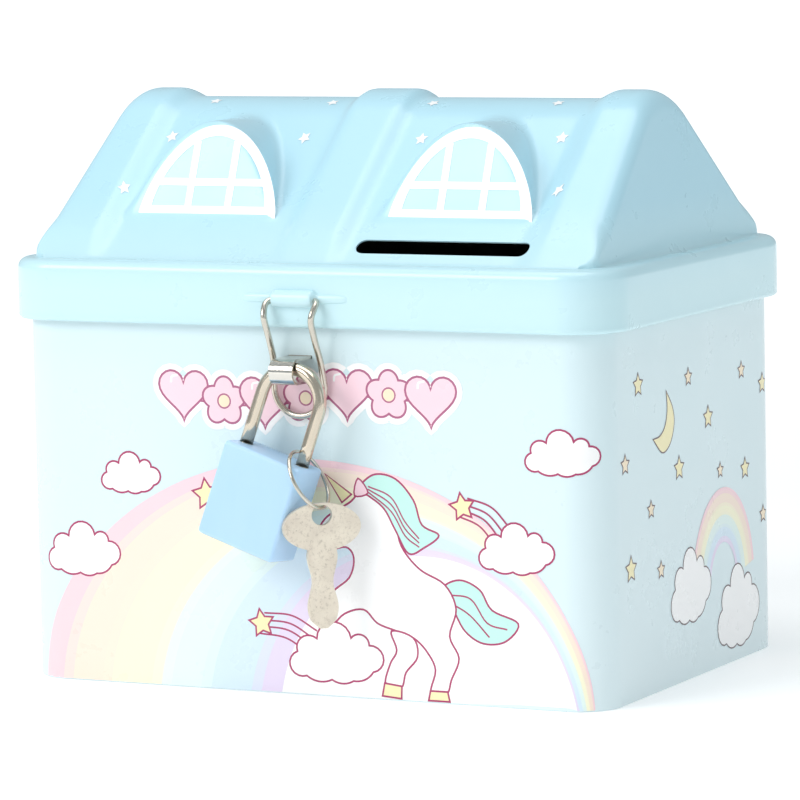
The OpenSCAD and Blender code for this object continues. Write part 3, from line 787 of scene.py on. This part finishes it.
def front_print():
    sheet = Print()
    outer = (0.8, -2.0, 57.0, 46.0)
    inner = (24.6, -6.0, 30.4, 33.0)
    arc = rainbow(sheet, outer, inner, 177, 3)
    sheet.fill(arc, srgb(253, 253, 252))
    sheet.clip_below(0.3)
    garland(sheet, 1.0, 55.2, 25.5)
    for cx, cz, w, h in ((-36.2, 40.0, 12.6, 7.8), (-46.8, 25.2, 15.8, 10.2), (52.3, 46.9, 14.4, 8.4)):
        sheet.outlined(cloud(cx, cz, w, h), WHITE, BURGUNDY)
    shooting_star(sheet, 32.4, 36.4, 2.6, (40.4, 31.2))
    sheet.outlined(cloud(43.1, 29.2, 15.0, 9.4), WHITE, BURGUNDY)
    pony(sheet)
    shooting_star(sheet, -9.2, 13.0, 2.7, (1.6, 9.8))
    sheet.outlined(cloud(6.2, 8.3, 19.4, 11.4), WHITE, BURGUNDY)
    sheet.outlined(star(-20.2, 36.6, 3.0, STAR_DENT, 8), YELLOW, BURGUNDY, 0.34)
    return sheet


def side_print(centre):
    """Night side: stars, a moon, and a small rainbow between two clouds. centre is the sheet's
    distance round the body of the side's middle."""
    sheet = Print()
    stars = ((-25.2, 57.6, 2.2), (-2.1, 56.6, 1.7), (23.5, 55.2, 1.7), (33.9, 51.6, 2.0), (7.1, 48.1, 2.2),
             (-31.5, 43.8, 1.9), (-6.9, 40.2, 2.3), (12.6, 37.4, 1.5), (24.8, 36.3, 2.1), (-20.1, 34.2, 1.7),
             (-29.5, 24.5, 2.5), (-15.9, 22.5, 1.7), (33.6, 26.4, 1.7))
    for y, z, r in stars:
        sheet.outlined(star(centre + y, z, r, STAR_DENT), CREAM if r < 2 else YELLOW, BROWN, 0.26)
    moon = [(-12.5, 55.2), (-9.6, 51.8), (-9.0, 48.6), (-11.0, 45.2), (-14.6, 44.0), (-18.8, 46.9)]
    hollow = [moon[-1], (-15.6, 47.2), (-13.2, 48.8), (-12.1, 51.8), moon[0]]
    moon_out, moon_in = (smooth_path([(centre + y, z) for y, z in line], 6) for line in (moon, hollow))
    sheet.outlined(moon_out + moon_in[1:-1], YELLOW, BROWN, 0.28)
    rainbow(sheet, (centre + 13.6, 15.0, 15.2, 19.0), (centre + 13.6, 15.0, 6.4, 8.6), 170, 10, 18, 0.7)
    for y, z, w, h in ((-2.0, 17.7, 19.0, 14.2), (20.8, 10.6, 20.6, 16.0)):
        sheet.outlined(cloud(centre + y, z, w, h), WHITE, BROWN, 0.28)
    return sheet


def back_print(centre):
    """Clouds, stars and a rainbow for the side that faces the wall."""
    sheet = Print()
    rainbow(sheet, (centre, 2.0, 34.0, 42.0), (centre, 2.0, 16.0, 21.0), 178, 2)
    sheet.clip_below(0.6)
    for x, z, w, h in ((-33.0, 8.0, 22.0, 13.0), (33.0, 8.0, 22.0, 13.0), (-38.0, 52.0, 14.0, 8.4),
                       (38.0, 48.0, 15.0, 9.0), (-2.0, 55.0, 12.0, 7.4)):
        sheet.outlined(cloud(centre + x, z, w, h), WHITE, BURGUNDY)
    for x, z, r in ((-22.0, 52.0, 2.4), (18.0, 56.0, 2.2), (-44.0, 34.0, 2.6), (46.0, 32.0, 2.4),
                    (0.0, 14.0, 2.6)):
        sheet.outlined(star(centre + x, z, r, STAR_DENT, 8), YELLOW, BURGUNDY, 0.3)
    return sheet


# ---------------------------------------------------------------- body

def make_wall():
    """The printed wall: hem, wall and rolled rim in one section swept round the body."""
    rim_r = 0.65
    top = WALL_HIGH[2]
    section = [(TIN + 1.9, 0.0), (0.35, 0.0)]
    section += arc_points(0.45, 0.45, 0.45, 250, 180, 5)
    section += [(0.0, z) for z in (6, 20, 34, 48, 60, 70)]
    section += [(x, z) for x, z in arc_points(rim_r, top - rim_r, rim_r, 180, -80, 14)]
    section += [(TIN, top - 2 * rim_r - 0.2), (TIN, 40.0), (TIN, 1.0), (TIN + 0.3, TIN), (TIN + 1.9, TIN)]
    verts, faces = sweep_round(section, HALF_W, HALF_D, BODY_R)
    wall = add_piece("wall_skin", verts, faces, "box", "printed_tin", SKY_LACQUER, BARE_TIN)
    mesh = wall.data
    for face in mesh.polygons:
        if inside_body(face.center) and 0.5 * MM < face.center.z < (top - 2 * rim_r) * MM:
            face.material_index = 1
    cut_slits(wall)
    wall.data.flip_normals()
    fix_outward(wall)
    sharpen(wall, 40)
    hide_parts("body_wall")


def inside_body(co):
    """Whether a point is nearer the room inside than the printed face."""
    x, y = abs(co.x) / MM, abs(co.y) / MM
    dx, dy = max(x - (HALF_W - BODY_R), 0), max(y - (HALF_D - BODY_R), 0)
    out = math.hypot(dx, dy) if dx and dy else max(dx, dy)
    return out < BODY_R - TIN / 2


def cut_slits(wall):
    """Slits for the staple's strip and the hinge leaf's tabs."""
    staple_z = (STAPLE_LOW[2] + STAPLE_HIGH[2]) / 2
    eye, strip, width = 3.9, 0.45, STAPLE_HIGH[0] - STAPLE_LOW[0]
    boxes = [((0, -HALF_D, staple_z + s * (eye + strip) / 2), (width + 0.2, 2, strip + 0.2))
             for s in (-1, 1)]
    tab_x, tab_drop, tab_slit = 5, 9, (3.2, 2, 0.7)
    boxes += [((s * tab_x, HALF_D, HINGE_Z - tab_drop), tab_slit) for s in (-1, 1)]
    cut_boxes(wall, boxes)


def cut_boxes(obj, boxes):
    bm = bmesh.new()
    for centre, size in boxes:
        grid = bmesh.ops.create_cube(bm, size=1.0)
        bmesh.ops.scale(bm, vec=Vector(size) * MM, verts=grid["verts"])
        bmesh.ops.translate(bm, vec=Vector(centre) * MM, verts=grid["verts"])
    mesh = bpy.data.meshes.new("cutter")
    bm.to_mesh(mesh)
    bm.free()
    cut_with(obj, mesh)


def cut_with(obj, mesh):
    """Cuts a mesh away from an object, and drops the cutter."""
    cutter = add_object("cutter", mesh)
    mod = obj.modifiers.new("cut", "BOOLEAN")
    mod.operation = "DIFFERENCE"
    mod.solver = "EXACT"
    mod.object = cutter
    apply_modifiers(obj)
    bpy.data.objects.remove(cutter)
    bpy.data.meshes.remove(mesh)


def fix_outward(obj):
    """Makes every face of a closed mesh look outwards."""
    with editing(obj.data) as bm:
        bmesh.ops.recalc_face_normals(bm, faces=bm.faces)


# ---------------------------------------------------------------- lid

def slope_line(y):
    """Height of the plain roof at the distance y from its middle."""
    y = abs(y)
    turn = RIDGE_R * math.sin(SLOPE)
    if y < turn:
        return RIDGE_Z - RIDGE_R + math.sqrt(RIDGE_R ** 2 - y * y)
    return RIDGE_Z - RIDGE_R * (1 - math.cos(SLOPE)) - (y - turn) * math.tan(SLOPE)


def step(x, a, b):
    t = min(max((x - a) / (b - a), 0.0), 1.0)
    return t * t * (3 - 2 * t)


def rib_height(x, y):
    """The pressed ribs: one in the middle and a wider one at each gable."""
    x = abs(x)
    mid = 1 - step(x, 4.4, 7.4)
    end = step(x, ROOF_HALF_W - GABLE_LEAN - 13.0, ROOF_HALF_W - GABLE_LEAN - 8.2)
    fade = 1 - step(abs(y), ROOF_HALF_D - 5.0, ROOF_HALF_D)
    return RIB_H * max(mid, end) * (0.35 + 0.65 * fade)


def dormer_height(x, y):
    """Height of a dormer's arched body over the roof's plan, far below the roof beside it."""
    dx = abs(abs(x) - DORMER_X) / DORMER_HALF_W
    if dx >= 1:
        return -1e3
    arch = LEDGE_Z + 2.0 + (DORMER_CROWN - 2.0) * (1 - dx ** 2.1) ** 0.9
    face = LEDGE_Z + (DORMER_Y - abs(y)) / math.tan(DORMER_LEAN)
    return smooth_min(arch, face, 1.6)


def smooth_min(a, b, k):
    h = min(max(0.5 + 0.5 * (b - a) / k, 0.0), 1.0)
    return b * (1 - h) + a * h - k * h * (1 - h)


def smooth_max(a, b, k):
    return -smooth_min(-a, -b, k)


def roof_height(x, y):
    """The pressed roof over the plan, before the gable ends cut it."""
    plain_roof = slope_line(y) + rib_height(x, y) / math.cos(SLOPE) * 0.9
    return smooth_max(plain_roof, dormer_height(x, y), 1.2)


def make_roof():
    """The roof's outer skin: a pressed top between rounded gable ends. Each row of points runs at
    one y: up a gable, round its edge, along the top and down the other gable."""
    inner = ROOF_HALF_W - GABLE_LEAN
    lean = GABLE_LEAN / (RIDGE_Z - LEDGE_Z)
    edge_r, rise, turn, count, depth = 4.2, 14, 10, 150, 176
    rows = []
    for j in range(depth + 1):
        y = round(-ROOF_HALF_D + 2 * ROOF_HALF_D * j / depth, 4)
        h = max(roof_height(inner - 2.0, y) - LEDGE_Z, 0.0)
        r = min(edge_r, h * 0.5)
        end = [(ROOF_HALF_W + 0.9, LEDGE_Z - 0.12), (ROOF_HALF_W + 0.4, LEDGE_Z + 0.06)]
        for k in range(1, rise):
            z = LEDGE_Z + (h - r) * k / rise
            end.append((ROOF_HALF_W - lean * (z - LEDGE_Z), z))
        x_edge = ROOF_HALF_W - lean * (h - r)
        for k in range(turn + 1):
            a = math.radians(90 * k / turn)
            end.append((x_edge - r + r * math.cos(a), LEDGE_Z + h - r + r * math.sin(a)))
        corner = plan_corner(y)
        left = [(-x * corner_scale(x, corner), z) for x, z in end]
        right = [(x * corner_scale(x, corner), z) for x, z in reversed(end)]
        limit = abs(left[-1][0])
        middle = []
        for k in range(1, count):
            x = -limit + 2 * limit * k / count
            blend = step(limit - abs(x), 0.0, 4.0)
            z = roof_height(x, y) * blend + (LEDGE_Z + h) * (1 - blend)
            middle.append((x, max(z, LEDGE_Z)))
        rows.append([(x, y, z) for x, z in left + middle + right])
    for out, drop in FOOT_FILLET:
        for j in (0, -1):
            edge = [(x, y + out * (-1 if j == 0 else 1), LEDGE_Z - drop) for x, y, z in rows[j]]
            rows.insert(0 if j == 0 else len(rows), edge)
    m = len(rows[0])
    verts = [v for row in rows for v in row]
    faces = [(j * m + i, j * m + i + 1, (j + 1) * m + i + 1, (j + 1) * m + i)
             for j in range(len(rows) - 1) for i in range(m - 1)]
    roof = add_piece("roof_skin", verts, faces, "lid", "blue_tin", ROOF_LACQUER, BARE_TIN)
    with editing(roof.data) as bm:
        bmesh.ops.remove_doubles(bm, verts=bm.verts, dist=0.02 * MM)
        bmesh.ops.smooth_vert(bm, verts=[v for v in bm.verts if not v.is_boundary], factor=0.5,
                              use_axis_x=True, use_axis_y=True, use_axis_z=True)
    return roof


def plan_corner(y):
    """How far the roof's rounded upright corners pull the gable in at this y."""
    r = 3.0
    over = abs(y) - (ROOF_HALF_D - r)
    if over <= 0:
        return 0.0
    return r - math.sqrt(max(r * r - over * over, 0.0))


def corner_scale(x, corner):
    return (abs(x) - corner) / abs(x)


def thicken(roof):
    """Gives the roof's skin the tin's thickness, inwards."""
    mod = roof.modifiers.new("thick", "SOLIDIFY")
    mod.thickness = TIN * MM
    mod.offset = -1.0
    mod.material_offset = 1
    mod.material_offset_rim = 0
    apply_modifiers(roof)


def cut_coin_slot(obj):
    """The coin slot: a prism with round ends, square to the slope."""
    z = slope_line(SLOT_Y)
    half = (SLOT_L - SLOT_W) / 2
    ring = [(half + SLOT_W / 2 * math.cos(a), SLOT_W / 2 * math.sin(a))
            for a in np.linspace(-math.pi / 2, math.pi / 2, 13)]
    ring += [(-x, -y) for x, y in ring]
    turn = Matrix.Rotation(SLOPE, 3, "X")
    verts, n = [], len(ring)
    for depth in (-4.0, 4.0):
        for x, y in ring:
            co = turn @ Vector((x, y, depth))
            verts.append(((co.x + DORMER_X) * MM, (co.y - SLOT_Y) * MM, (co.z + z) * MM))
    faces = [tuple(range(n))[::-1], tuple(range(n, 2 * n))]
    faces += [(k, (k + 1) % n, n + (k + 1) % n, n + k) for k in range(n)]
    mesh = bpy.data.meshes.new("slot")
    mesh.from_pydata(verts, [], faces)
    cut_with(obj, mesh)


def make_skirt():
    """The skirt: ledge, rounded top edge, wall and curled lower edge."""
    e = SKIRT_EDGE_R
    foot = SKIRT_HALF_D - ROOF_HALF_D + 1.2
    outer = [(foot, LEDGE_Z - 0.25), (foot - 1.5, LEDGE_Z), (e + 1.0, LEDGE_Z)]
    outer += [(e - e * math.sin(a), LEDGE_Z - e + e * math.cos(a))
              for a in map(math.radians, range(0, 91, 9))]
    outer += [(0.0, z) for z in np.linspace(LEDGE_Z - e - 1, SKIRT_Z + 2.2, 6)]
    outer += [(CURL_R - CURL_R * math.cos(a), SKIRT_Z + CURL_R + CURL_R * math.sin(a))
              for a in map(math.radians, range(18, -199, -18))]
    inner = [(TIN + 0.25, SKIRT_Z + 2.4), (TIN, SKIRT_Z + 3.2), (TIN, LEDGE_Z - e)]
    inner += [(e - (e - TIN) * math.sin(a), LEDGE_Z - e + (e - TIN) * math.cos(a))
              for a in map(math.radians, range(81, -1, -9))]
    inner += [(e + 1.0, LEDGE_Z - TIN), (foot, LEDGE_Z - 0.25 - TIN)]
    verts, faces = sweep_round(outer + inner, SKIRT_HALF_W, SKIRT_HALF_D, SKIRT_R)
    skirt = add_piece("skirt_skin", verts, faces, "lid", "blue_tin", ROOF_LACQUER)
    fix_outward(skirt)


def make_bridge():
    """The bead pressed in the skirt's front, and the bridge that holds the wire."""
    half_bridge, bead_half = 4.2, 11.0
    n_x, n_a = 60, 16
    verts, faces = [], []
    for i in range(n_x + 1):
        x = -bead_half + 2 * bead_half * i / n_x
        ax = abs(x)
        bridge = 1 - step(ax, half_bridge - 0.3, half_bridge + 0.5)
        end = math.sqrt(max(1 - (ax / bead_half) ** 6, 0.0))
        reach = 0.62 * end + 1.33 * bridge
        high = (0.85 + 0.75 * bridge) * (0.35 + 0.65 * end)
        for k in range(n_a + 1):
            a = math.radians(-90 + 180 * k / n_a)
            verts.append((HASP_X + x, -SKIRT_HALF_D + 0.15 - reach * max(math.cos(a), 0) ** 0.8,
                          PIVOT_Z + 0.3 + high * math.sin(a)))
    m = n_a + 1
    for i in range(n_x):
        for k in range(n_a):
            faces.append((i * m + k, i * m + k + 1, (i + 1) * m + k + 1, (i + 1) * m + k))
        faces.append((i * m, (i + 1) * m, (i + 1) * m + n_a, i * m + n_a))
    faces.append(tuple(range(m))[::-1])
    faces.append(tuple(n_x * m + k for k in range(m)))
    bridge = add_piece("hasp_bridge", verts, faces, "lid", "blue_tin", ROOF_LACQUER)
    fix_outward(bridge)
    sharpen(bridge, 50)


def make_knuckles():
    """The lid's two hinge knuckles, rolled from the skirt, with a slit where the roll closes."""
    verts, faces = [], []
    inner_r, outer_r = 0.86, 1.46
    for side in (-1, 1):
        x0, x1 = sorted((side * 8.3, side * 17.3))
        first = len(verts)
        steps = 28
        for x in (x0, x1):
            for k in range(steps + 1):
                a = math.radians(205 + 325 * k / steps)
                for r in (inner_r, outer_r):
                    verts.append((x, HINGE_Y + r * math.cos(a), HINGE_Z + r * math.sin(a)))
        row = 2 * (steps + 1)
        for k in range(steps):
            a, b = first + 2 * k, first + 2 * k + 2
            faces += [(a, b, b + row, a + row), (a + 1, a + 1 + row, b + 1 + row, b + 1),
                      (a, a + 1, b + 1, b), (a + row, b + row, b + 1 + row, a + 1 + row)]
        for a in (first, first + 2 * steps):
            faces.append((a, a + row, a + 1 + row, a + 1))
        start = len(verts)
        y0, y1, z0, z1 = SKIRT_HALF_D - TIN, HINGE_Y - 0.9, HINGE_Z - 0.2, HINGE_Z + 0.4
        for x in (x0, x1):
            verts += [(x, y0, z0), (x, y1, z0), (x, y1, z1), (x, y0, z1)]
        faces += [tuple(start + k for k in q) for q in
                  ((0, 1, 2, 3), (7, 6, 5, 4), (0, 4, 5, 1), (1, 5, 6, 2), (2, 6, 7, 3), (3, 7, 4, 0))]
    knuckles = add_piece("lid_knuckles", verts, faces, "lid", "blue_tin", ROOF_LACQUER)
    fix_outward(knuckles)
    sharpen(knuckles, 40)


# ---------------------------------------------------------------- roof print

def face_place(side, x0, lift=0.07):
    """Sheet to dormer face: x across, t up along the leaning face."""
    def place(x, t):
        y = DORMER_Y - t * math.sin(DORMER_LEAN) - WINDOW_FOOT * math.tan(DORMER_LEAN)
        z = LEDGE_Z + WINDOW_FOOT + t * math.cos(DORMER_LEAN)
        return (x0 + x, side * (y + lift * math.cos(DORMER_LEAN)), z + lift * math.sin(DORMER_LEAN))
    place.outward = Vector((0, side, 0.3))
    return place


def window_half(t, half=WINDOW_HALF, top=WINDOW_TOP):
    return half * max(1 - (t / top) ** 1.5, 0.0) ** 0.5


def window_print():
    """An arched window: a thick white frame and three thin bars, open between them."""
    sheet = Print()
    half, top, frame_w, bar = WINDOW_HALF, WINDOW_TOP, 2.2, 1.45
    ts = [top * (1 - (1 - k / 26) ** 1.8) for k in range(27)]
    right = [(window_half(t), t) for t in ts]
    outer = right + [(-x, t) for x, t in right[::-1]][1:]
    right_in = [(window_half(t, half - frame_w * 1.2, top - frame_w - frame_w), t + frame_w)
                for t in [(top - 2 * frame_w) * (1 - (1 - k / 26) ** 1.8) for k in range(27)]]
    inner = right_in + [(-x, t) for x, t in right_in[::-1]][1:]
    sheet.shapes.append(([np.array(outer), np.array(inner)], WHITE))
    sheet.stroke([(-window_half(6.9) + 1.2, 6.9), (window_half(6.9) - 1.2, 6.9)], bar, WHITE)
    for s in (-1, 1):
        sheet.stroke([(s * 4.2, frame_w - 0.4), (s * 4.2, 15.0)], bar, WHITE)
    return sheet


ROOF_STARS = ((-45.0, 26.2), (-41.0, 14.2), (-36.4, 4.8), (-12.5, 14.2), (-11.0, 5.2), (12.0, 14.2),
              (10.2, 5.2), (35.8, 4.8), (40.5, 13.7), (45.0, 25.5))


def roof_star_print(side):
    """Small white stars scattered on a slope."""
    sheet = Print()
    for k, (x, y) in enumerate(ROOF_STARS):
        sheet.fill(star(x, y, 1.3, 0.5, 14 * (k % 3)), WHITE)

    def place(x, y):
        h = 0.05
        z0 = roof_height(x, y)
        gx = (roof_height(x + h, y) - roof_height(x - h, y)) / (2 * h)
        gy = (roof_height(x, y + h) - roof_height(x, y - h)) / (2 * h)
        n = np.array([-gx, -gy, 1.0])
        n /= np.linalg.norm(n)
        return (x + n[0] * 0.09, side * (y + n[1] * 0.09), z0 + n[2] * 0.09)
    place.outward = Vector((0, 0, 1))
    return sheet.build(f"roof_stars_{'front' if side < 0 else 'back'}", "lid", "blue_tin", place, 0.7)


# ---------------------------------------------------------------- hasp, springs, finishes

def make_hasp():
    """The hasp: one springy wire whose ends turn in under the bridge."""
    wall_y = -HALF_D - 1.2
    side = [(1.2, PIVOT_Y, PIVOT_Z), (3.4, PIVOT_Y, PIVOT_Z), (4.4, PIVOT_Y - 0.1, PIVOT_Z),
            (5.0, PIVOT_Y - 0.7, PIVOT_Z - 0.3), (5.15, PIVOT_Y - 1.5, PIVOT_Z - 1.0),
            (4.9, PIVOT_Y - 2.4, PIVOT_Z - 2.6), (4.75, PIVOT_Y - 2.3, PIVOT_Z - 4.0),
            (4.7, PIVOT_Y - 1.5, PIVOT_Z - 5.8), (4.7, PIVOT_Y - 0.5, PIVOT_Z - 8.0),
            (4.8, (PIVOT_Y + wall_y) / 2, PIVOT_Z - 11.0), (5.0, wall_y - 0.2, PIVOT_Z - 14.0)]
    low = WIRE_LOW[2] + HASP_WIRE_R
    loop = [(HASP_LOOP_R * math.cos(a), wall_y, low + HASP_LOOP_R * (1 - math.sin(a)))
            for a in np.linspace(0, math.pi / 2, 6)]
    half = side + loop
    path = [(-x, y, z) for x, y, z in half] + half[-2::-1]
    points = [(x + HASP_X, y, z) for x, y, z in smooth_path(path, 5)]
    verts, faces = tube(points, HASP_WIRE_R, 18)
    wire = add_piece("hasp_wire_skin", verts, faces, "hasp", "steel_wire", WIRE)
    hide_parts("hasp_wire")


def finish_nodes():
    """Materials for the CAD nodes."""
    looks = {"floor_panel": BARE_TIN, "hinge_leaf": NICKEL, "hinge_pin": WIRE, "staple": NICKEL,
             "shackle": SHACKLE, "lock_jacket": JACKET, "lock_core": ZINC, "lock_base": ZINC,
             "case_rivets": ZINC, "heel_pin": WIRE, "shackle_spring": SPRING, "lock_plug": BRASS,
             "plug_wafers": BRASS, "latch": ZINC, "latch_spring": SPRING, "key_ring": WIRE, "key": KEY}
    for name, mat in looks.items():
        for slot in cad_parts[name].material_slots:
            slot.material = mat


# ---------------------------------------------------------------- padlock and key

LOCK_AT = Vector((1.0, -48.15, 55.0285))
LOCK_TURN = (Matrix.Rotation(math.radians(-2), 3, "Z") @ Matrix.Rotation(math.radians(-5.5), 3, "X")
             @ Matrix.Rotation(math.radians(18), 3, "Y"))
LOCK_W, LOCK_D, LOCK_H = 16.5, 9.0, 18.0
CASE_TOP = -10.0
LEG_X = 6.2
SHACKLE_R = 1.2


def lock_point(x, y, z):
    return LOCK_AT + LOCK_TURN @ Vector((x, y, z))


def make_shackle_skin():
    """A bright polished skin over the shackle's bow and the legs outside the case."""
    legs = [(-LEG_X, z) for z in (CASE_TOP + 0.1, -6.0, -2.0)]
    bow = [(-LEG_X * math.cos(a), LEG_X * math.sin(a)) for a in np.linspace(0, math.pi, 49)]
    path = legs + bow + [(-x, z) for x, z in legs[::-1]]
    verts, faces = tube([lock_point(x, 0, z) for x, z in path], SHACKLE_R + 0.02, 32)
    add_piece("shackle_skin", verts, faces, "shackle", "shackle_steel", SHACKLE)


def rounded_box(half, r, steps=5):
    """A box with rounded edges, from half sizes and a radius in millimetres."""
    bm = bmesh.new()
    bmesh.ops.create_cube(bm, size=2.0)
    bmesh.ops.scale(bm, vec=Vector(half) * MM, verts=bm.verts)
    bmesh.ops.bevel(bm, geom=list(bm.edges), offset=r * MM, segments=steps, profile=0.5, affect="EDGES")
    return bm


def make_jacket():
    """The plastic jacket: a softly rounded shell, open below, with a bore for each leg."""
    bm = rounded_box((LOCK_W / 2, LOCK_D / 2, LOCK_H / 2), 0.75)
    mid = CASE_TOP - LOCK_H / 2
    bmesh.ops.transform(bm, matrix=Matrix.Translation(Vector((0, 0, mid)) * MM), verts=bm.verts)
    mesh = bpy.data.meshes.new("lock_jacket_skin")
    bm.to_mesh(mesh)
    bm.free()
    mesh.materials.append(JACKET)
    jacket = add_object("lock_jacket_skin", mesh)
    cut_boxes(jacket, [((0, 0, mid - 0.6), (LOCK_W - 1.0, LOCK_D - 1.0, LOCK_H + 0.2))])
    bores = bmesh.new()
    for side in (-1, 1):
        bmesh.ops.create_cone(bores, cap_ends=True, segments=40, radius1=(SHACKLE_R + 0.12) * MM,
                              radius2=(SHACKLE_R + 0.12) * MM, depth=4 * MM,
                              matrix=Matrix.Translation(Vector((side * LEG_X, 0, CASE_TOP)) * MM))
    cutter = bpy.data.meshes.new("bores")
    bores.to_mesh(cutter)
    bores.free()
    cut_with(jacket, cutter)
    jacket.data.transform(Matrix.Translation(LOCK_AT * MM) @ LOCK_TURN.to_4x4())
    jacket.data.polygons.foreach_set("use_smooth", [True] * len(jacket.data.polygons))
    sharpen(jacket, 40)
    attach(jacket, "lock_case")
    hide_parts("lock_jacket")


def make_key_skin():
    """The key with its rims rounded over, as tumbling leaves them."""
    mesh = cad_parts["key"].data.copy()
    mesh.materials.clear()
    mesh.materials.append(KEY)
    key = add_object("key_skin", mesh)
    with editing(mesh) as bm:
        bmesh.ops.remove_doubles(bm, verts=bm.verts, dist=0.002 * MM)
        bmesh.ops.dissolve_limit(bm, angle_limit=math.radians(2), verts=bm.verts, edges=bm.edges)
        rims = [e for e in bm.edges if len(e.link_faces) == 2 and e.calc_face_angle(0) > math.radians(50)]
        bmesh.ops.bevel(bm, geom=rims, offset=0.28 * MM, segments=4, profile=0.5, affect="EDGES",
                        clamp_overlap=True)
    mesh.polygons.foreach_set("use_smooth", [p.area < 2.0 * MM * MM for p in mesh.polygons])
    sharpen(key, 45)
    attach(key, "key")
    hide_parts("key")


# ---------------------------------------------------------------- stage

def make_stage():
    """A wide, flat, pale floor, soft panels and a white surround."""
    floor_r, sides = 7000, 96
    ring = [(floor_r * math.cos(TAU * k / sides), floor_r * math.sin(TAU * k / sides), 0)
            for k in range(sides)]
    mesh = bpy.data.meshes.new("floor")
    mesh.from_pydata([tuple(c * MM for c in v) for v in ring], [], [tuple(range(sides))])
    mesh.materials.append(backdrop_white())
    add_object("floor", mesh)

    world = bpy.data.worlds.new("studio")
    world.use_nodes = True
    surround = world.node_tree.nodes["Background"].inputs
    surround["Color"].default_value = (0.88, 0.96, 1.0, 1.0)
    surround["Strength"].default_value = 0.8
    bpy.context.scene.world = world

    def panel(name, where, size, power, tint=(1, 1, 1)):
        data = bpy.data.lights.new(name, "AREA")
        data.shape = "RECTANGLE"
        data.size, data.size_y = size
        data.energy = power
        data.color = tint
        lamp = add_object(name, data)
        lamp.location = where
        aim = Vector((0, 0, 0.05)) - Vector(where)
        lamp.rotation_euler = aim.to_track_quat("-Z", "Y").to_euler()

    panel("key_light", (-0.55, -0.85, 0.65), (0.7, 0.5), 10)
    panel("top_light", (0.0, -0.1, 0.95), (0.8, 0.6), 6)
    panel("fill_light", (0.9, -0.5, 0.35), (0.5, 0.5), 0.8, (0.8, 0.93, 1.0))


def make_view():
    """A bright, neutral look."""
    view = bpy.context.scene.view_settings
    view.view_transform = "Standard"
    view.look = "None"
    view.exposure = -0.80


def make_camera():
    """A long lens, a little above the box and to the right of its front."""
    yaw, pitch, roll = 0.4627, 0.1134, -0.0205
    where = Vector((413.5, -830.3, 155.8)) * MM
    data = bpy.data.cameras.new("camera")
    data.sensor_width = 36.0
    data.lens = 220.0
    data.clip_end = 20.0
    cam = add_object("camera", data)
    forward = Vector((-math.sin(yaw) * math.cos(pitch), math.cos(yaw) * math.cos(pitch), -math.sin(pitch)))
    right = Vector((math.cos(yaw), math.sin(yaw), 0))
    up = right.cross(forward)
    r = right * math.cos(roll) + up * math.sin(roll)
    u = up * math.cos(roll) - right * math.sin(roll)
    turn = Matrix((r, u, -forward)).transposed()
    cam.matrix_world = Matrix.Translation(where) @ turn.to_4x4()
    bpy.context.scene.camera = cam


# ---------------------------------------------------------------- make everything

make_camera()
make_view()
make_stage()

make_wall()
around = outline_length(HALF_W, HALF_D, BODY_R)
side_middle = HALF_W - BODY_R + math.pi / 2 * BODY_R + (HALF_D - BODY_R)
front_print().build("print_front", "box", "printed_tin", wall_place(), 1.0)
side_print(side_middle).build("print_right", "box", "printed_tin", wall_place(), 1.0)
side_print(around - side_middle).build("print_left", "box", "printed_tin", wall_place(), 1.0)
back_print(around / 2).build("print_back", "box", "printed_tin", wall_place(), 1.0)

roof = make_roof()
thicken(roof)
cut_coin_slot(roof)
sharpen(roof, 55)
make_skirt()
make_bridge()
make_knuckles()
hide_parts("lid_shell")
for side, name in ((-1, "front"), (1, "back")):
    for x0, end in ((-DORMER_X + 1.5, "left"), (DORMER_X + 1.0, "right")):
        window_print().build(f"window_{name}_{end}", "lid", "blue_tin", face_place(side, x0))
    roof_star_print(side)
make_hasp()
make_shackle_skin()
make_jacket()
make_key_skin()
finish_nodes()

bpy.context.view_layer.update()
